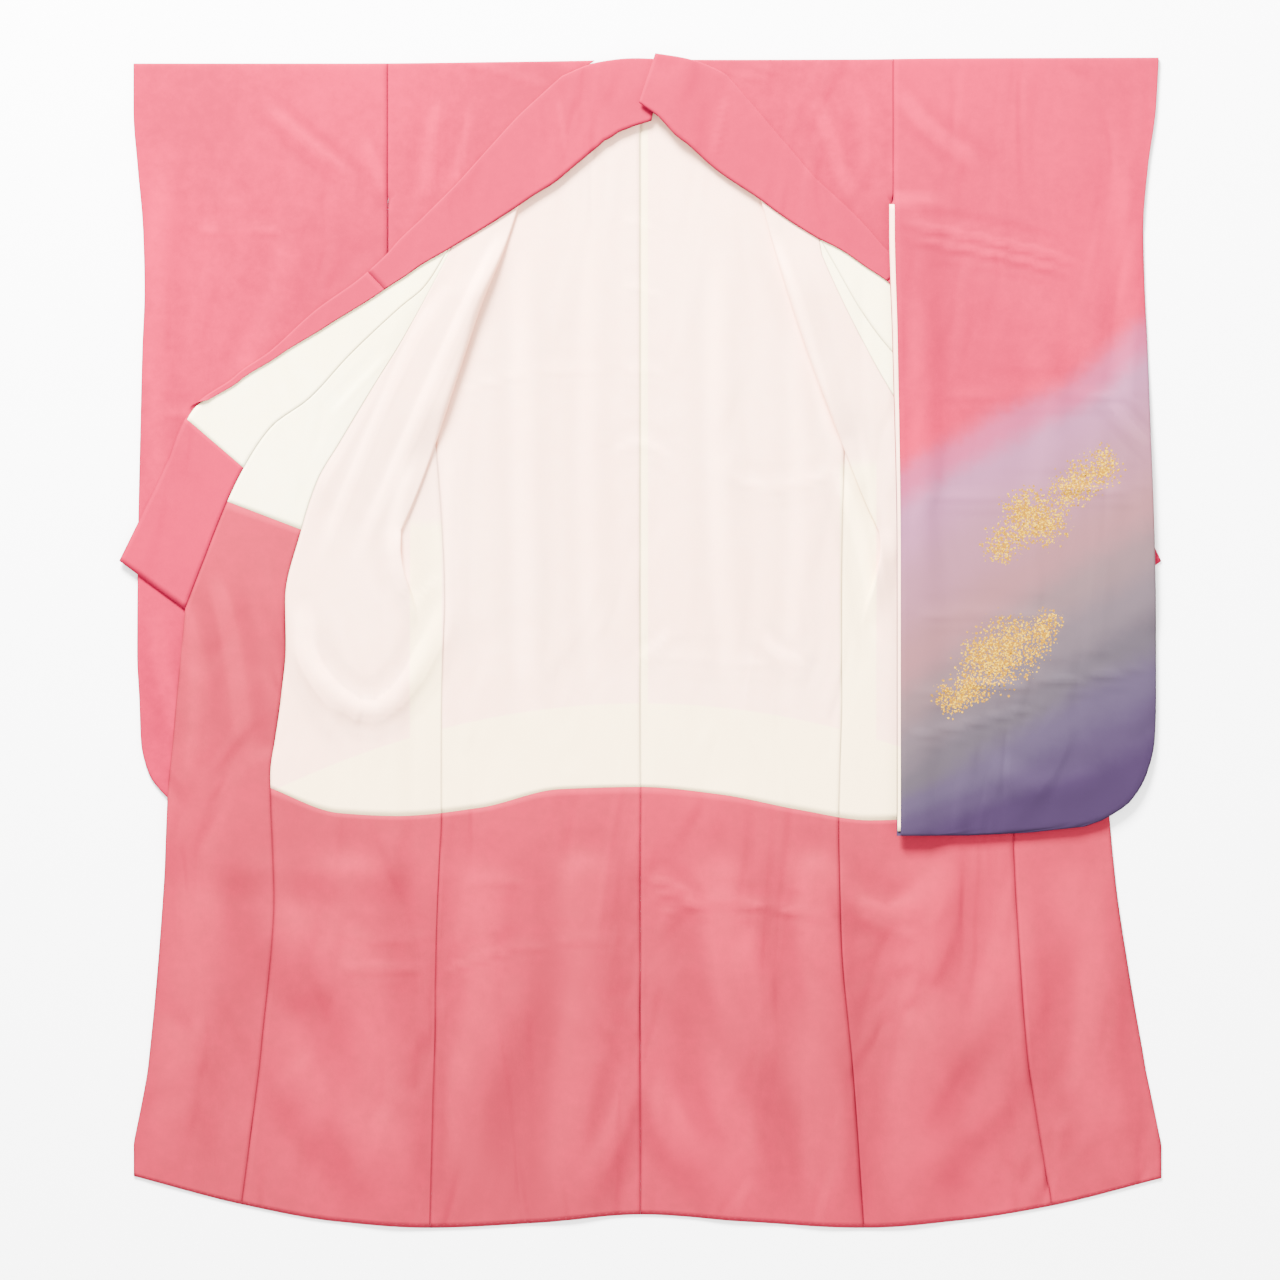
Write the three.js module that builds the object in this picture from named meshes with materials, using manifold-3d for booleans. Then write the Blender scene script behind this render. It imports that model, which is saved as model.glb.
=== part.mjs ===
// A lined furisode laid open on its back, in millimetres, +Z up off the surface it lies on.
// Sides are the wearer's: right is minus X, left is plus X. +Y runs to the shoulders.
// "Reach" is a distance from the centre back seam towards either side.
import * as THREE from "three";
import { mergeVertices } from "three/addons/utils/BufferGeometryUtils.js";
import Module from "manifold-3d";

// Driving dimensions
const CLOTH = 1.2; // wall of every cloth
const PLY_GAP = 0.3; // between two cloths that lie on each other
const PLY = CLOTH + PLY_GAP;
const SEAM_INSET = 0.24; // each panel ends this far short of its seam line
const SHOULDER_Y = 787;
const HEM_Y = -792;
const ARMHOLE_REACH = 341;
const ARMHOLE_END_Y = 602; // below it the sleeve hangs free of the body
const EDGE_STRIP = 15; // cloth beside the armhole, and beside the neck above the fold
const TURNED_SIDE_REACH = 340.8; // where a front turns under at its side
const NECK_REACH = 62;
const NECK_DROP = 19; // the back neckline lies this far below the shoulder line
const NECK_FLAT_REACH = 60; // it is level up to here
const NECK_CURVE = 50; // and rises to the shoulder over this width
const FOLD_START_V = 757; // row at which a front begins to fold back, below the collar's first seam
const FOLD_TURNED_V = 725; // from this row down it lies doubled
const SIDE_TURNED_V = 560; // from this row down its side lies fully turned under
const DOUBLED_END_V = 150; // below this row the double fold opens out
const FOLD_FLAT_V = 20; // and here the front lies single
const LINING_END_V = -220; // row where the white lining meets the skirt lining
const OVERLAP_TOP_V = 520; // first row of the overlap panel
const OVERLAP_LINING_END_V = 150;
const OVERLAP_LINING_RISE = 38; // its end climbs this much towards the front edge
const OVERLAP_RISE_BAND = 107;
const COLLAR_LINING_TOP_V = 560;
const COLLAR_END_V = 43;
const OVER_COLLAR_END_V = 450;
const FACING_TOP_V = 220; // seam between collar lining and the facing of its open end
const WRIST_END_Y = 555; // the wrist opening ends here, and the sleeve's edge is sewn below
const SLEEVE_HEIGHT = 5.7; // a flat sleeve: two cloths with their linings' room between
const CREST = 6; // radius that the soft roll of a front's fold adds
const CREST_RISE = 100; // length over which the roll grows below the turned side
const CREST_END_V = 240; // row at which it is pressed flat again
const CREST_FADE = 90;
const CREST_FALL = 70; // width over which the top ply comes down from the roll
const PRESSED_FALL = 30; // and below the roll's end
const SMALLEST_TURN = 1.5; // middle radius of a pressed fold of outer cloth and lining
const SHORTEST_ARC = 3;
const TURN_TAIL = 1.5; // cloth beyond a side turn that is still opening
const FOLD_TAIL = 1.2; // cloth beyond a front's fold that is still opening
const KNEE_REACH = { right: 339, left: 343 }; // where the top ply leaves the turned side below it
const KNEE_ROOM = 3;
const SIDE_FADE_REACH = 376; // the top cloth comes down beyond the turned side
const SIDE_FADE = 44;
const FURI_REACH = 339; // free inner edge of the left sleeve's lower cloth
const FURI_TOP_REACH = 347; // and of its upper cloth, which shows the lining beside it
const FURI_START_Y = 580; // the left sleeve's inner edges lie free below this height
const LINING_STRIP_TOP_Y = 588;
const LINING_STRIP_END_Y = -258;
const SLEEVE_ON_BUNDLE = 7.2; // room for the overlap panel and the turned collar below it
const BUNDLE_MARGIN = 35; // the left sleeve lies raised this far beyond what is under it
const BUNDLE_RAMP = 75; // and comes down over this width
const SLEEVE_MARGIN = 40; // the same for the right front on the right sleeve
const SLEEVE_RAMP = 60;
const ARMHOLE_STEP = 16; // length over which the left sleeve rises onto its front
const SLEEVE_RIM = 4;
const COLLAR_TURN = 2.1; // middle radius of the collar's soft fold
const COLLAR_TURN_ROOM = 8; // cloth at the collar's edge that the fold takes up
const COLLAR_FLAP = 2.5; // turned cloth where the fold is still opening
const LEAST_TURNED = 4;
const COLLAR_LINING_SHORT = 3; // the collar's lining ends this far short of its fold
const NAPE_LIFT = 6.4; // the left half of the over-collar lies on the right half at the nape
const NAPE_X = 45; // up to here
const NAPE_FADE = 55;
const SKIRT_OPEN_Y = -255; // ridges begin below the sleeves
const SKIRT_OPEN_BAND = 60;

const COLOURS = { pink: 0xf2949f, collar: 0xeb919a, skirt: 0xe4858d, white: 0xfaf0ea, cream: 0xf8f3e5 };

// Turns rows of numbers into rows with named columns
const table = (names, rows) => rows.map((row) => Object.fromEntries(names.map((name, k) => [name, row[k]])));

const SHOULDER = table(
  ["x", "y"],
  [[-684, 779], [-406, 779], [-163, 781.5], [-48, 783.5], [0, 785], [107, 784], [283, 784.5], [418, 786], [697, 787]],
);
const HEM = table(
  ["x", "y"],
  [[-684, -722], [-535, -761], [-406, -784], [-284, -792], [-149, -786], [3, -774], [134, -783], [302, -792],
    [431, -782], [551, -763], [703, -725]],
);
const LINING_END = table(
  ["x", "y"],
  [[-500, -198], [-406, -232], [-325, -236], [-217, -225], [-109, -200], [0, -197], [107, -207], [215, -228],
    [310, -242], [500, -230]],
);
const SIDE_SEAM = table(
  ["y", "right", "left"],
  [[787, 341, 341], [645, 341, 341], [602, 326, 326], [560, 326, 326], [520, 322, 322], [433, 309, 310],
    [262, 276, 276], [55, 264, 272], [-80, 268, 272], [-234, 269, 268], [-397, 275, 271], [-593, 279, 288],
    [-792, 284, 302]],
);
const OVERLAP_SEAM = table(
  ["y", "right", "left"],
  [[541, 249, 236], [481, 280, 262], [404, 322, 300], [346, 358, 332], [266, 406, 385], [217, 435, 425],
    [147, 458, 455], [55, 479, 479], [-5, 478, 478], [-80, 485, 485], [-198, 499, 500], [-346, 494, 507],
    [-537, 510, 520], [-630, 520, 532], [-792, 538, 555]],
);
const FRONT_EDGE = table(
  ["y", "right", "left"],
  [[43, 614, 614], [-80, 626, 624], [-215, 637, 632], [-323, 643, 641], [-458, 653, 661], [-579, 665, 682],
    [-725, 684, 703]],
);
const FRONT_FOLD = table(
  ["y", "right", "left"],
  [[757, 95, 100], [725, 127, 131], [690, 143, 143], [645, 151, 151], [599, 161, 161], [532, 182, 179],
    [455, 213, 202], [362, 244, 234], [269, 275, 270], [186, 306, 303], [150, 322, 320]],
);
// How a front's double fold opens out below: turn in degrees, cloth between the two turns, reach of the lower turn
const FOLD_OPENING = table(
  ["v", "turn", "between", "reach"],
  [[DOUBLED_END_V, 180, 13, TURNED_SIDE_REACH - SMALLEST_TURN - CLOTH - PLY_GAP / 2], [124, 144, 9, 331],
    [98, 108, 6, 321], [72, 72, 4, 310],
    [43, 36, 2.5, 300], [FOLD_FLAT_V, 1, 1.5, 296]],
);
// The collar band: its seam, its outer edge and the width turned over onto the garment
const COLLAR_COLUMNS = ["seamReach", "seamY", "edgeReach", "edgeY", "turned"];
const COLLAR_RIGHT = table(COLLAR_COLUMNS, [
  [94, 765, 97, 770, 107], [129, 731, 134, 737, 104], [164, 692, 172, 701, 98], [194, 642, 211, 658, 85],
  [222, 589, 249, 616, 70], [255, 535, 293, 572, 55], [292, 476, 337, 528, 39], [323, 450, 368, 498, 31],
  [393, 384, 441, 444, 24], [448, 325, 497, 393, 10], [496, 290, 545, 359, 7], [531, 240, 608, 310, 4],
  [557, 188, 639, 240, 0], [590, 105, 676, 163, 0], [614, 43, 703, 108, 0],
]);
const COLLAR_LEFT = table(COLLAR_COLUMNS, [
  [106, 765, 110, 771, 107], [139, 724, 146, 730, 99], [160, 695, 169, 703, 94], [205, 625, 222, 641, 72],
  [239, 548, 279, 585, 57], [265, 501, 331, 529, 40], [296, 447, 360, 505, 31], [330, 400, 400, 472, 28],
  [385, 345, 441, 436, 24], [440, 305, 497, 391, 10], [487, 270, 545, 355, 7], [531, 240, 608, 310, 4],
  [557, 188, 639, 240, 0], [590, 105, 676, 163, 0], [614, 43, 703, 108, 0],
]);
// The same band round the back of the neck
const NAPE_RIGHT = table(COLLAR_COLUMNS, [
  [-26, 772, -28, 785, 80], [14, 771, 14, 786, 86], [52, 769, 55, 781, 92],
]);
const NAPE_LEFT = table(COLLAR_COLUMNS, [[17, 783, 20, 792, 68], [62, 776, 67, 784, 86]]);
const SLEEVE_EDGE = table(
  ["y", "right", "left"],
  [[787, 684, 699], [717, 684, 695], [636, 678, 684], [555, 671, 678], [474, 669, 680], [393, 672, 684],
    [271, 675, 688], [124, 678, 693], [-19, 679, 695], [-80, 676, 695], [-134, 674, 693], [-177, 664, 683],
    [-215, 634, 661], [-236, 600, 632], [-250, 555, 598], [-258, 505, 525], [-262, 440, 440]],
);
// Soft ridges of the skirt, from one end to the other
const RIDGES = table(
  ["x0", "y0", "x1", "y1", "width", "height"],
  [[-600, -330, -640, -700, 60, 5], [-395, -300, -335, -760, 75, 9], [-215, -330, -235, -740, 60, 6],
    [-75, -290, -95, -760, 65, 8], [110, -320, 130, -760, 65, 7], [235, -300, 250, -760, 60, 8],
    [385, -330, 360, -760, 75, 9], [590, -340, 630, -700, 60, 5]],
);

// Rows of the body, from shoulder to hem
const FOLD_START_ROWS = [749, 741, 733];
const SIDE_TURN_ROWS = [592, 582, 572];
const UPPER_ROWS = [SHOULDER_Y, FOLD_START_V, ...FOLD_START_ROWS, FOLD_TURNED_V, 690, 645, ARMHOLE_END_Y,
  ...SIDE_TURN_ROWS, SIDE_TURNED_V, OVERLAP_TOP_V, OVER_COLLAR_END_V, 410, 370, 320, 270, FACING_TOP_V, 180,
  DOUBLED_END_V, 124, 98, 72, COLLAR_END_V, FOLD_FLAT_V];
const LOWER_ROWS = [-80, -150, LINING_END_V, -275, -350, -440, -530, -620, -710, HEM_Y];
const BODY_ROWS = [...UPPER_ROWS, ...LOWER_ROWS];
const BACK_ROWS = BODY_ROWS.filter((v) => ![...FOLD_START_ROWS, ...SIDE_TURN_ROWS, FOLD_START_V, 124,
  72].includes(v));
const COLLAR_ROWS = UPPER_ROWS.filter((v) => v <= FOLD_START_V && v >= COLLAR_END_V && ![...FOLD_START_ROWS,
  ...SIDE_TURN_ROWS].includes(v));
const UNTURN_ROWS = [262, 254, 246, 238]; // where the turned edge of the collar opens out
const UNTURN_SHARES = [0.75, 0.5, 0.25, 0];
const SLEEVE_ROWS = [SHOULDER_Y, 784, 650, 604, 588, 572, WRIST_END_Y + 1, WRIST_END_Y - 1, 470, 390, 310, 230, 150, 60,
  -30, -100, -150, -190, -222, -242, -254, -262];

const clamp = (value, low, high) => Math.min(high, Math.max(low, value));
const smooth = (value) => { const t = clamp(value, 0, 1); return t * t * (3 - 2 * t); };
const mix = (a, b, t) => a + (b - a) * t;
const signOf = (side) => (side === "right" ? -1 : 1);

// Smooth curve through a table: the value of one column at a place in another
function curve(rows, key, column, at) {
  const up = rows[0][key] < rows[rows.length - 1][key] ? rows : [...rows].reverse();
  const place = clamp(at, up[0][key], up[up.length - 1][key]);
  const k = clamp(up.findIndex((row) => row[key] >= place) - 1, 0, up.length - 2);
  const slope = (i, j) => (up[j][column] - up[i][column]) / (up[j][key] - up[i][key]);
  const tangent = (i) => {
    if (i === 0 || i === up.length - 1) return slope(Math.max(i - 1, 0), Math.min(i + 1, up.length - 1));
    const before = slope(i - 1, i);
    const after = slope(i, i + 1);
    return before * after <= 0 ? 0 : (2 * before * after) / (before + after);
  };
  const span = up[k + 1][key] - up[k][key];
  const t = (place - up[k][key]) / span;
  const start = up[k][column];
  const end = up[k + 1][column];
  return (2 * t ** 3 - 3 * t * t + 1) * start + (t ** 3 - 2 * t * t + t) * span * tangent(k)
    + (3 * t * t - 2 * t ** 3) * end + (t ** 3 - t * t) * span * tangent(k + 1);
}

// A row's true height at x: rows near the shoulder, the lining's end and the hem follow those lines
const TOP_BAND = 700;
const LINING_BAND = 80;
const HEM_BAND = -580;
function rowY(v, x) {
  if (v > TOP_BAND) return mix(TOP_BAND, curve(SHOULDER, "x", "y", x), (v - TOP_BAND) / (SHOULDER_Y - TOP_BAND));
  if (v < HEM_BAND) return mix(HEM_BAND, curve(HEM, "x", "y", x), (v - HEM_BAND) / (HEM_Y - HEM_BAND));
  const near = Math.max(0, 1 - Math.abs(v - LINING_END_V) / LINING_BAND);
  return v + near * (curve(LINING_END, "x", "y", x) - LINING_END_V);
}

// Signed distance to a closed outline, positive inside
function insideBy(outline, x, y) {
  let nearest = Infinity;
  let inside = false;
  outline.forEach(([ax, ay], k) => {
    const [bx, by] = outline[(k + 1) % outline.length];
    const t = clamp(((x - ax) * (bx - ax) + (y - ay) * (by - ay)) / ((bx - ax) ** 2 + (by - ay) ** 2), 0, 1);
    nearest = Math.min(nearest, Math.hypot(x - mix(ax, bx, t), y - mix(ay, by, t)));
    if (ay > y !== by > y && x < ax + ((y - ay) / (by - ay)) * (bx - ax)) inside = !inside;
  });
  return inside ? nearest : -nearest;
}
const lift = (outline, x, y, margin, ramp) => smooth((insideBy(outline, x, y) + margin + ramp) / ramp);

const SLEEVE_OUTLINE = [[-ARMHOLE_REACH, 779], ...SLEEVE_EDGE.map((row) => [-row.right, row.y]),
  [-ARMHOLE_REACH, -262]];
const BUNDLE_OUTLINE = [[300, 575], ...COLLAR_LEFT.slice(5).map((row) => [row.edgeReach, row.edgeY]),
  ...FRONT_EDGE.map((row) => [row.left, row.y]), [300, HEM_Y]];

// Ridges of the skirt, and none where sleeves, fronts and back lie on each other
function relief(x, y) {
  const open = smooth((SKIRT_OPEN_Y - y) / SKIRT_OPEN_BAND);
  if (open === 0) return 0;
  return open * RIDGES.reduce((sum, ridge) => {
    const length = Math.hypot(ridge.x1 - ridge.x0, ridge.y1 - ridge.y0);
    const along = ((x - ridge.x0) * (ridge.x1 - ridge.x0) + (y - ridge.y0) * (ridge.y1 - ridge.y0)) / length ** 2;
    const aside = ((x - ridge.x0) * (ridge.y1 - ridge.y0) - (y - ridge.y0) * (ridge.x1 - ridge.x0)) / length;
    const across = smooth(1 - Math.abs(aside) / ridge.width);
    return sum + ridge.height * across * smooth(along * 3 + 0.6) * smooth((1.15 - along) * 3);
  }, 0);
}

// Height at which the top ply lies: on the turned-under front, on the right sleeve, or on the floor
const UNDER_FRONT = 4 * PLY;
const doubled = (v) => smooth((v - FOLD_FLAT_V) / (DOUBLED_END_V - FOLD_FLAT_V));
const pastSide = (reach) => 1 - smooth((reach - SIDE_FADE_REACH) / SIDE_FADE);
function topPly(side, x, y) {
  const onFront = doubled(y) * pastSide(Math.abs(x));
  const onSleeve = side === "right" ? lift(SLEEVE_OUTLINE, x, y, SLEEVE_MARGIN, SLEEVE_RAMP) : 0;
  return UNDER_FRONT * Math.max(onFront, onSleeve) + relief(x, y);
}

// Points: place and the direction of the cloth's inner face; the middle line lies between cloth and lining
const flatPoint = (x, y, z) => ({ at: [x, y, z], face: [0, 0, 1] });
const offset = (point, by) => ({ at: point.at.map((c, k) => c + by * point.face[k]), face: point.face });
const steps = (from, to, count) => Array.from({ length: count + 1 }, (_, k) => mix(from, to, k / count));

const OUTER = -PLY / 2; // from the middle line to the outer cloth
const LINING = PLY / 2; // and to the lining
const MIDDLE = CLOTH + PLY_GAP / 2; // from the middle line to the far face of either cloth

// One row across a front: under ply, turn at the side, upper ply, turn at the fold, top ply
function frontRow(side, v) {
  const sign = signOf(side);
  const upper = MIDDLE + 2 * PLY;
  const points = [];
  const add = (reach, z, dReach, dz) => points.push({ reach, z, dReach, dz });
  const seam = v > FOLD_START_V ? NECK_REACH : topEdge(side, v);
  const turnReach = TURNED_SIDE_REACH - SMALLEST_TURN - MIDDLE;
  if (v > ARMHOLE_END_Y - 1) {
    steps(TURNED_SIDE_REACH, TURNED_SIDE_REACH - EDGE_STRIP, 5).forEach((reach) => add(reach, upper, -1, 0));
  } else if (v >= SIDE_TURNED_V) {
    const turn = (Math.PI * (ARMHOLE_END_Y - v)) / (ARMHOLE_END_Y - SIDE_TURNED_V);
    const radius = Math.max(SMALLEST_TURN, SHORTEST_ARC / turn);
    const tail = v === SIDE_TURNED_V ? turnReach - curve(SIDE_SEAM, "y", side, v) : TURN_TAIL;
    const first = Math.PI / 2 - turn;
    const centre = turnReach + SMALLEST_TURN - radius;
    const arc = (angle) => [centre + radius * Math.cos(angle), upper - radius + radius * Math.sin(angle)];
    const [reach0, z0] = arc(first);
    steps(tail, 0, 2).slice(0, 2).forEach((back) =>
      add(reach0 + back * Math.sin(first), z0 - back * Math.cos(first), -Math.sin(first), Math.cos(first)));
    steps(first, Math.PI / 2, 3).forEach((angle) => add(...arc(angle), -Math.sin(angle), Math.cos(angle)));
  }
  if (v >= SIDE_TURNED_V) {
    const above = v > FOLD_START_V;
    const start = above ? seam + EDGE_STRIP : curve(FRONT_FOLD, "y", side, v) + SMALLEST_TURN + MIDDLE;
    const turn = above ? 0 : Math.min(Math.PI, (Math.PI * (FOLD_START_V - v)) / (FOLD_START_V - FOLD_TURNED_V));
    steps(points[points.length - 1].reach, start, 2).slice(1).forEach((reach) => add(reach, upper, -1, 0));
    frontTurn(add, start, upper, turn, 0, seam, side, v);
    return points.map((point) => placed(point, sign, v));
  }
  const open = v < DOUBLED_END_V;
  const opening = (column) => curve(FOLD_OPENING, "v", column, v);
  const turn = open ? (opening("turn") * Math.PI) / 180 : Math.PI;
  const radius = Math.max(SMALLEST_TURN, SHORTEST_ARC / turn);
  const sideReach = curve(SIDE_SEAM, "y", side, v);
  const hinge = open ? Math.max(opening("reach"), sideReach + 20) : turnReach;
  steps(sideReach, hinge, 2).forEach((reach) => add(reach, MIDDLE, 1, 0));
  steps(0, turn, 3).slice(1).forEach((angle) => add(hinge + radius * Math.sin(angle),
    MIDDLE + radius * (1 - Math.cos(angle)), Math.cos(angle), Math.sin(angle)));
  const last = points[points.length - 1];
  if (open) {
    steps(0, opening("between"), 2).slice(1).forEach((along) => add(last.reach + along * Math.cos(turn),
      last.z + along * Math.sin(turn), Math.cos(turn), Math.sin(turn)));
    const foot = points[points.length - 1];
    steps(turn, 0, 3).slice(1).forEach((angle) => add(
      foot.reach + radius * (Math.sin(turn) - Math.sin(angle)),
      foot.z + radius * (Math.cos(angle) - Math.cos(turn)), Math.cos(angle), Math.sin(angle)));
  } else {
    const crest = CREST * smooth((SIDE_TURNED_V - v) / CREST_RISE) * smooth((v - CREST_END_V) / CREST_FADE);
    const start = curve(FRONT_FOLD, "y", side, v) + SMALLEST_TURN + crest + MIDDLE;
    steps(last.reach, start, 2).slice(1).forEach((reach) => add(reach, upper, -1, 0));
    frontTurn(add, start, upper, Math.PI, crest, seam, side, v);
    return points.map((point) => placed(point, sign, v));
  }
  topRun(add, points, seam, side, v);
  return points.map((point) => placed(point, sign, v));
}

// The turn at the fold and the top ply above it
function frontTurn(add, start, upper, turn, crest, seam, side, v) {
  if (turn === 0) {
    steps(start, seam, 6).slice(1).forEach((reach) => add(reach, upper, -1, 0));
    return;
  }
  const radius = Math.max(SMALLEST_TURN + crest, SHORTEST_ARC / turn);
  const turned = [];
  steps(0, turn, 3).slice(1).forEach((angle) => turned.push({ reach: start - radius * Math.sin(angle),
    z: upper + radius * (1 - Math.cos(angle)), dReach: -Math.cos(angle), dz: Math.sin(angle) }));
  turned.forEach((point) => add(point.reach, point.z, point.dReach, point.dz));
  const last = turned[turned.length - 1];
  if (turn < Math.PI) {
    steps(0, FOLD_TAIL, 3).slice(1).forEach((along) => add(last.reach + along * last.dReach, last.z + along * last.dz,
      last.dReach, last.dz));
    return;
  }
  topRun(add, turned, seam, side, v);
}

// The top ply from the turn to its seam, coming down from the roll onto what lies below
function topRun(add, points, seam, side, v) {
  const last = points[points.length - 1];
  const knee = KNEE_REACH[side];
  const first = seam < knee + KNEE_ROOM ? mix(last.reach, seam, 1 / 3) : Math.max(knee, last.reach + KNEE_ROOM);
  const fall = v < CREST_END_V ? PRESSED_FALL : CREST_FALL;
  const height = (reach) => topPly(side, signOf(side) * reach, rowY(v, signOf(side) * reach)) + MIDDLE;
  const above = last.z + relief(signOf(side) * last.reach, rowY(v, signOf(side) * last.reach)) - height(last.reach);
  [first, mix(first, seam, 0.5), seam].forEach((reach) => {
    const left = 1 - smooth((reach - last.reach) / fall);
    const x = signOf(side) * reach;
    add(reach, height(reach) + above * left - relief(x, rowY(v, x)), 1, 0);
  });
}

function placed(point, sign, v) {
  const x = sign * point.reach;
  const y = rowY(v, x);
  return { at: [x, y, point.z + relief(x, y)], face: [-sign * point.dz, 0, point.dReach] };
}

// Outer edge of the top ply: the collar's seam above the overlap panel, the overlap seam below its tip
const collarTable = (side) => (side === "right" ? COLLAR_RIGHT : COLLAR_LEFT);
function topEdge(side, v) {
  if (v > OVERLAP_TOP_V) return curve(collarTable(side), "seamY", "seamReach", v);
  return curve(OVERLAP_SEAM, "y", side, v);
}

// Rows of the overlap panel rise towards its outer edge where its two linings meet
const overlapEdgeY = (v) => v
  + OVERLAP_LINING_RISE * Math.max(0, 1 - Math.abs(v - OVERLAP_LINING_END_V) / OVERLAP_RISE_BAND);
function overlapRow(side, v) {
  const sign = signOf(side);
  const inner = topEdge(side, v);
  const edgeY = overlapEdgeY(v);
  const outer = v >= COLLAR_END_V ? curve(collarTable(side), "seamY", "seamReach", edgeY)
    : curve(FRONT_EDGE, "y", side, v);
  return steps(0, 1, 3).map((t) => {
    const x = sign * mix(inner, outer, t);
    const y = mix(rowY(v, x), edgeY, v >= COLLAR_END_V ? t : 0);
    return flatPoint(x, y, topPly(side, x, y) + MIDDLE);
  });
}

function backRow(side, v) {
  const sign = signOf(side);
  return steps(0, 1, 5).map((t) => {
    const x = sign * t * curve(SIDE_SEAM, "y", side, v);
    const share = Math.max(0, (v - TOP_BAND) / (SHOULDER_Y - TOP_BAND));
    const scoop = NECK_DROP * (1 - smooth((Math.abs(x) - NECK_FLAT_REACH) / NECK_CURVE)) * share;
    const y = rowY(v, x) - scoop;
    return flatPoint(x, y, MIDDLE + relief(x, y));
  });
}

// A station of the collar: from its seam out to the fold and back over itself
function collarStation(side, row, opening = 1) {
  const sign = signOf(side);
  const nape = (x) => (side === "left" ? NAPE_LIFT * (1 - smooth((x - NAPE_X) / NAPE_FADE)) : 0);
  const width = Math.hypot(row.edgeReach - row.seamReach, row.edgeY - row.seamY);
  const along = [(row.edgeReach - row.seamReach) / width, (row.edgeY - row.seamY) / width];
  const turn = Math.PI * opening;
  const station = [];
  const add = (q, z, dq, dz) => {
    const x = sign * (row.seamReach + along[0] * q);
    const y = row.seamY + along[1] * q;
    station.push({ at: [x, y, z + topPly(side, x, y) + nape(x)],
      face: [-dz * along[0] * sign, -dz * along[1], dq] });
  };
  if (turn === 0) {
    const flat = width - COLLAR_TURN_ROOM;
    [...steps(0, flat, 3), ...steps(flat, width, 5).slice(1)].forEach((q) => add(q, CLOTH / 2, 1, 0));
    return station;
  }
  const radius = Math.max(COLLAR_TURN, SHORTEST_ARC / turn);
  const centre = width - COLLAR_TURN - CLOTH / 2;
  steps(0, centre, 3).forEach((q) => add(q, CLOTH / 2, 1, 0));
  steps(0, turn, 3).slice(1).forEach((angle) => add(centre + radius * Math.sin(angle),
    CLOTH / 2 + radius * (1 - Math.cos(angle)), Math.cos(angle), Math.sin(angle)));
  const lastQ = centre + radius * Math.sin(turn);
  const lastZ = CLOTH / 2 + radius * (1 - Math.cos(turn));
  const back = opening < 1 ? COLLAR_FLAP : Math.max(LEAST_TURNED, row.turned);
  steps(0, back, 2).slice(1).forEach((run) => add(lastQ + run * Math.cos(turn), lastZ + run * Math.sin(turn),
    Math.cos(turn), Math.sin(turn)));
  return station;
}
function collarAt(side, v) {
  const y = v < UNTURN_ROWS[0] && !UNTURN_ROWS.includes(v) ? overlapEdgeY(v) : v;
  const at = (column) => curve(collarTable(side), "seamY", column, y);
  return { seamReach: at("seamReach"), seamY: y, edgeReach: at("edgeReach"), edgeY: at("edgeY"), turned: at("turned") };
}
const collarLiningRow = (side, v, end = COLLAR_LINING_SHORT) => {
  const row = collarAt(side, v);
  return steps(0, 1, 3).map((t) => {
    const width = Math.hypot(row.edgeReach - row.seamReach, row.edgeY - row.seamY);
    const q = t * (1 - end / width);
    const x = signOf(side) * mix(row.seamReach, row.edgeReach, q);
    const y = mix(row.seamY, row.edgeY, q);
    return flatPoint(x, y, topPly(side, x, y) + CLOTH / 2 + PLY);
  });
};

// A closed wall round a grid of points, with its borders drawn in from the seam lines
function wall(grid, thickness = CLOTH, inset = SEAM_INSET) {
  const rows = grid.length;
  const columns = grid[0].length;
  const pulled = (from, to) => {
    const length = Math.hypot(...from.at.map((c, k) => to.at[k] - c));
    return { at: from.at.map((c, k) => c + ((to.at[k] - c) * Math.min(inset, length / 3)) / length), face: from.face };
  };
  const sides = grid.map((row) => row.map((point, j) => {
    if (j === 0) return pulled(point, row[1]);
    return j === columns - 1 ? pulled(point, row[columns - 2]) : point;
  }));
  const mesh = sides.map((row, i) => row.map((point, j) => {
    if (i === 0) return pulled(point, sides[1][j]);
    return i === rows - 1 ? pulled(point, sides[rows - 2][j]) : point;
  }));
  const vertices = [];
  [thickness / 2, -thickness / 2].forEach((by) => mesh.forEach((row) => row.forEach((point) => {
    const length = Math.hypot(...point.face);
    vertices.push(...point.at.map((c, k) => c + (by * point.face[k]) / length));
  })));
  const index = [];
  const top = (i, j) => i * columns + j;
  const low = (i, j) => rows * columns + i * columns + j;
  const quad = (a, b, c, d) => index.push(a, b, c, a, c, d);
  for (let i = 0; i < rows - 1; i += 1) {
    for (let j = 0; j < columns - 1; j += 1) {
      quad(top(i, j), top(i + 1, j), top(i + 1, j + 1), top(i, j + 1));
      quad(low(i, j), low(i, j + 1), low(i + 1, j + 1), low(i + 1, j));
    }
    quad(top(i, 0), low(i, 0), low(i + 1, 0), top(i + 1, 0));
    quad(top(i, columns - 1), top(i + 1, columns - 1), low(i + 1, columns - 1), low(i, columns - 1));
  }
  for (let j = 0; j < columns - 1; j += 1) {
    quad(top(0, j), top(0, j + 1), low(0, j + 1), low(0, j));
    quad(top(rows - 1, j), low(rows - 1, j), low(rows - 1, j + 1), top(rows - 1, j + 1));
  }
  return facingOut(vertices, index);
}

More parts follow.
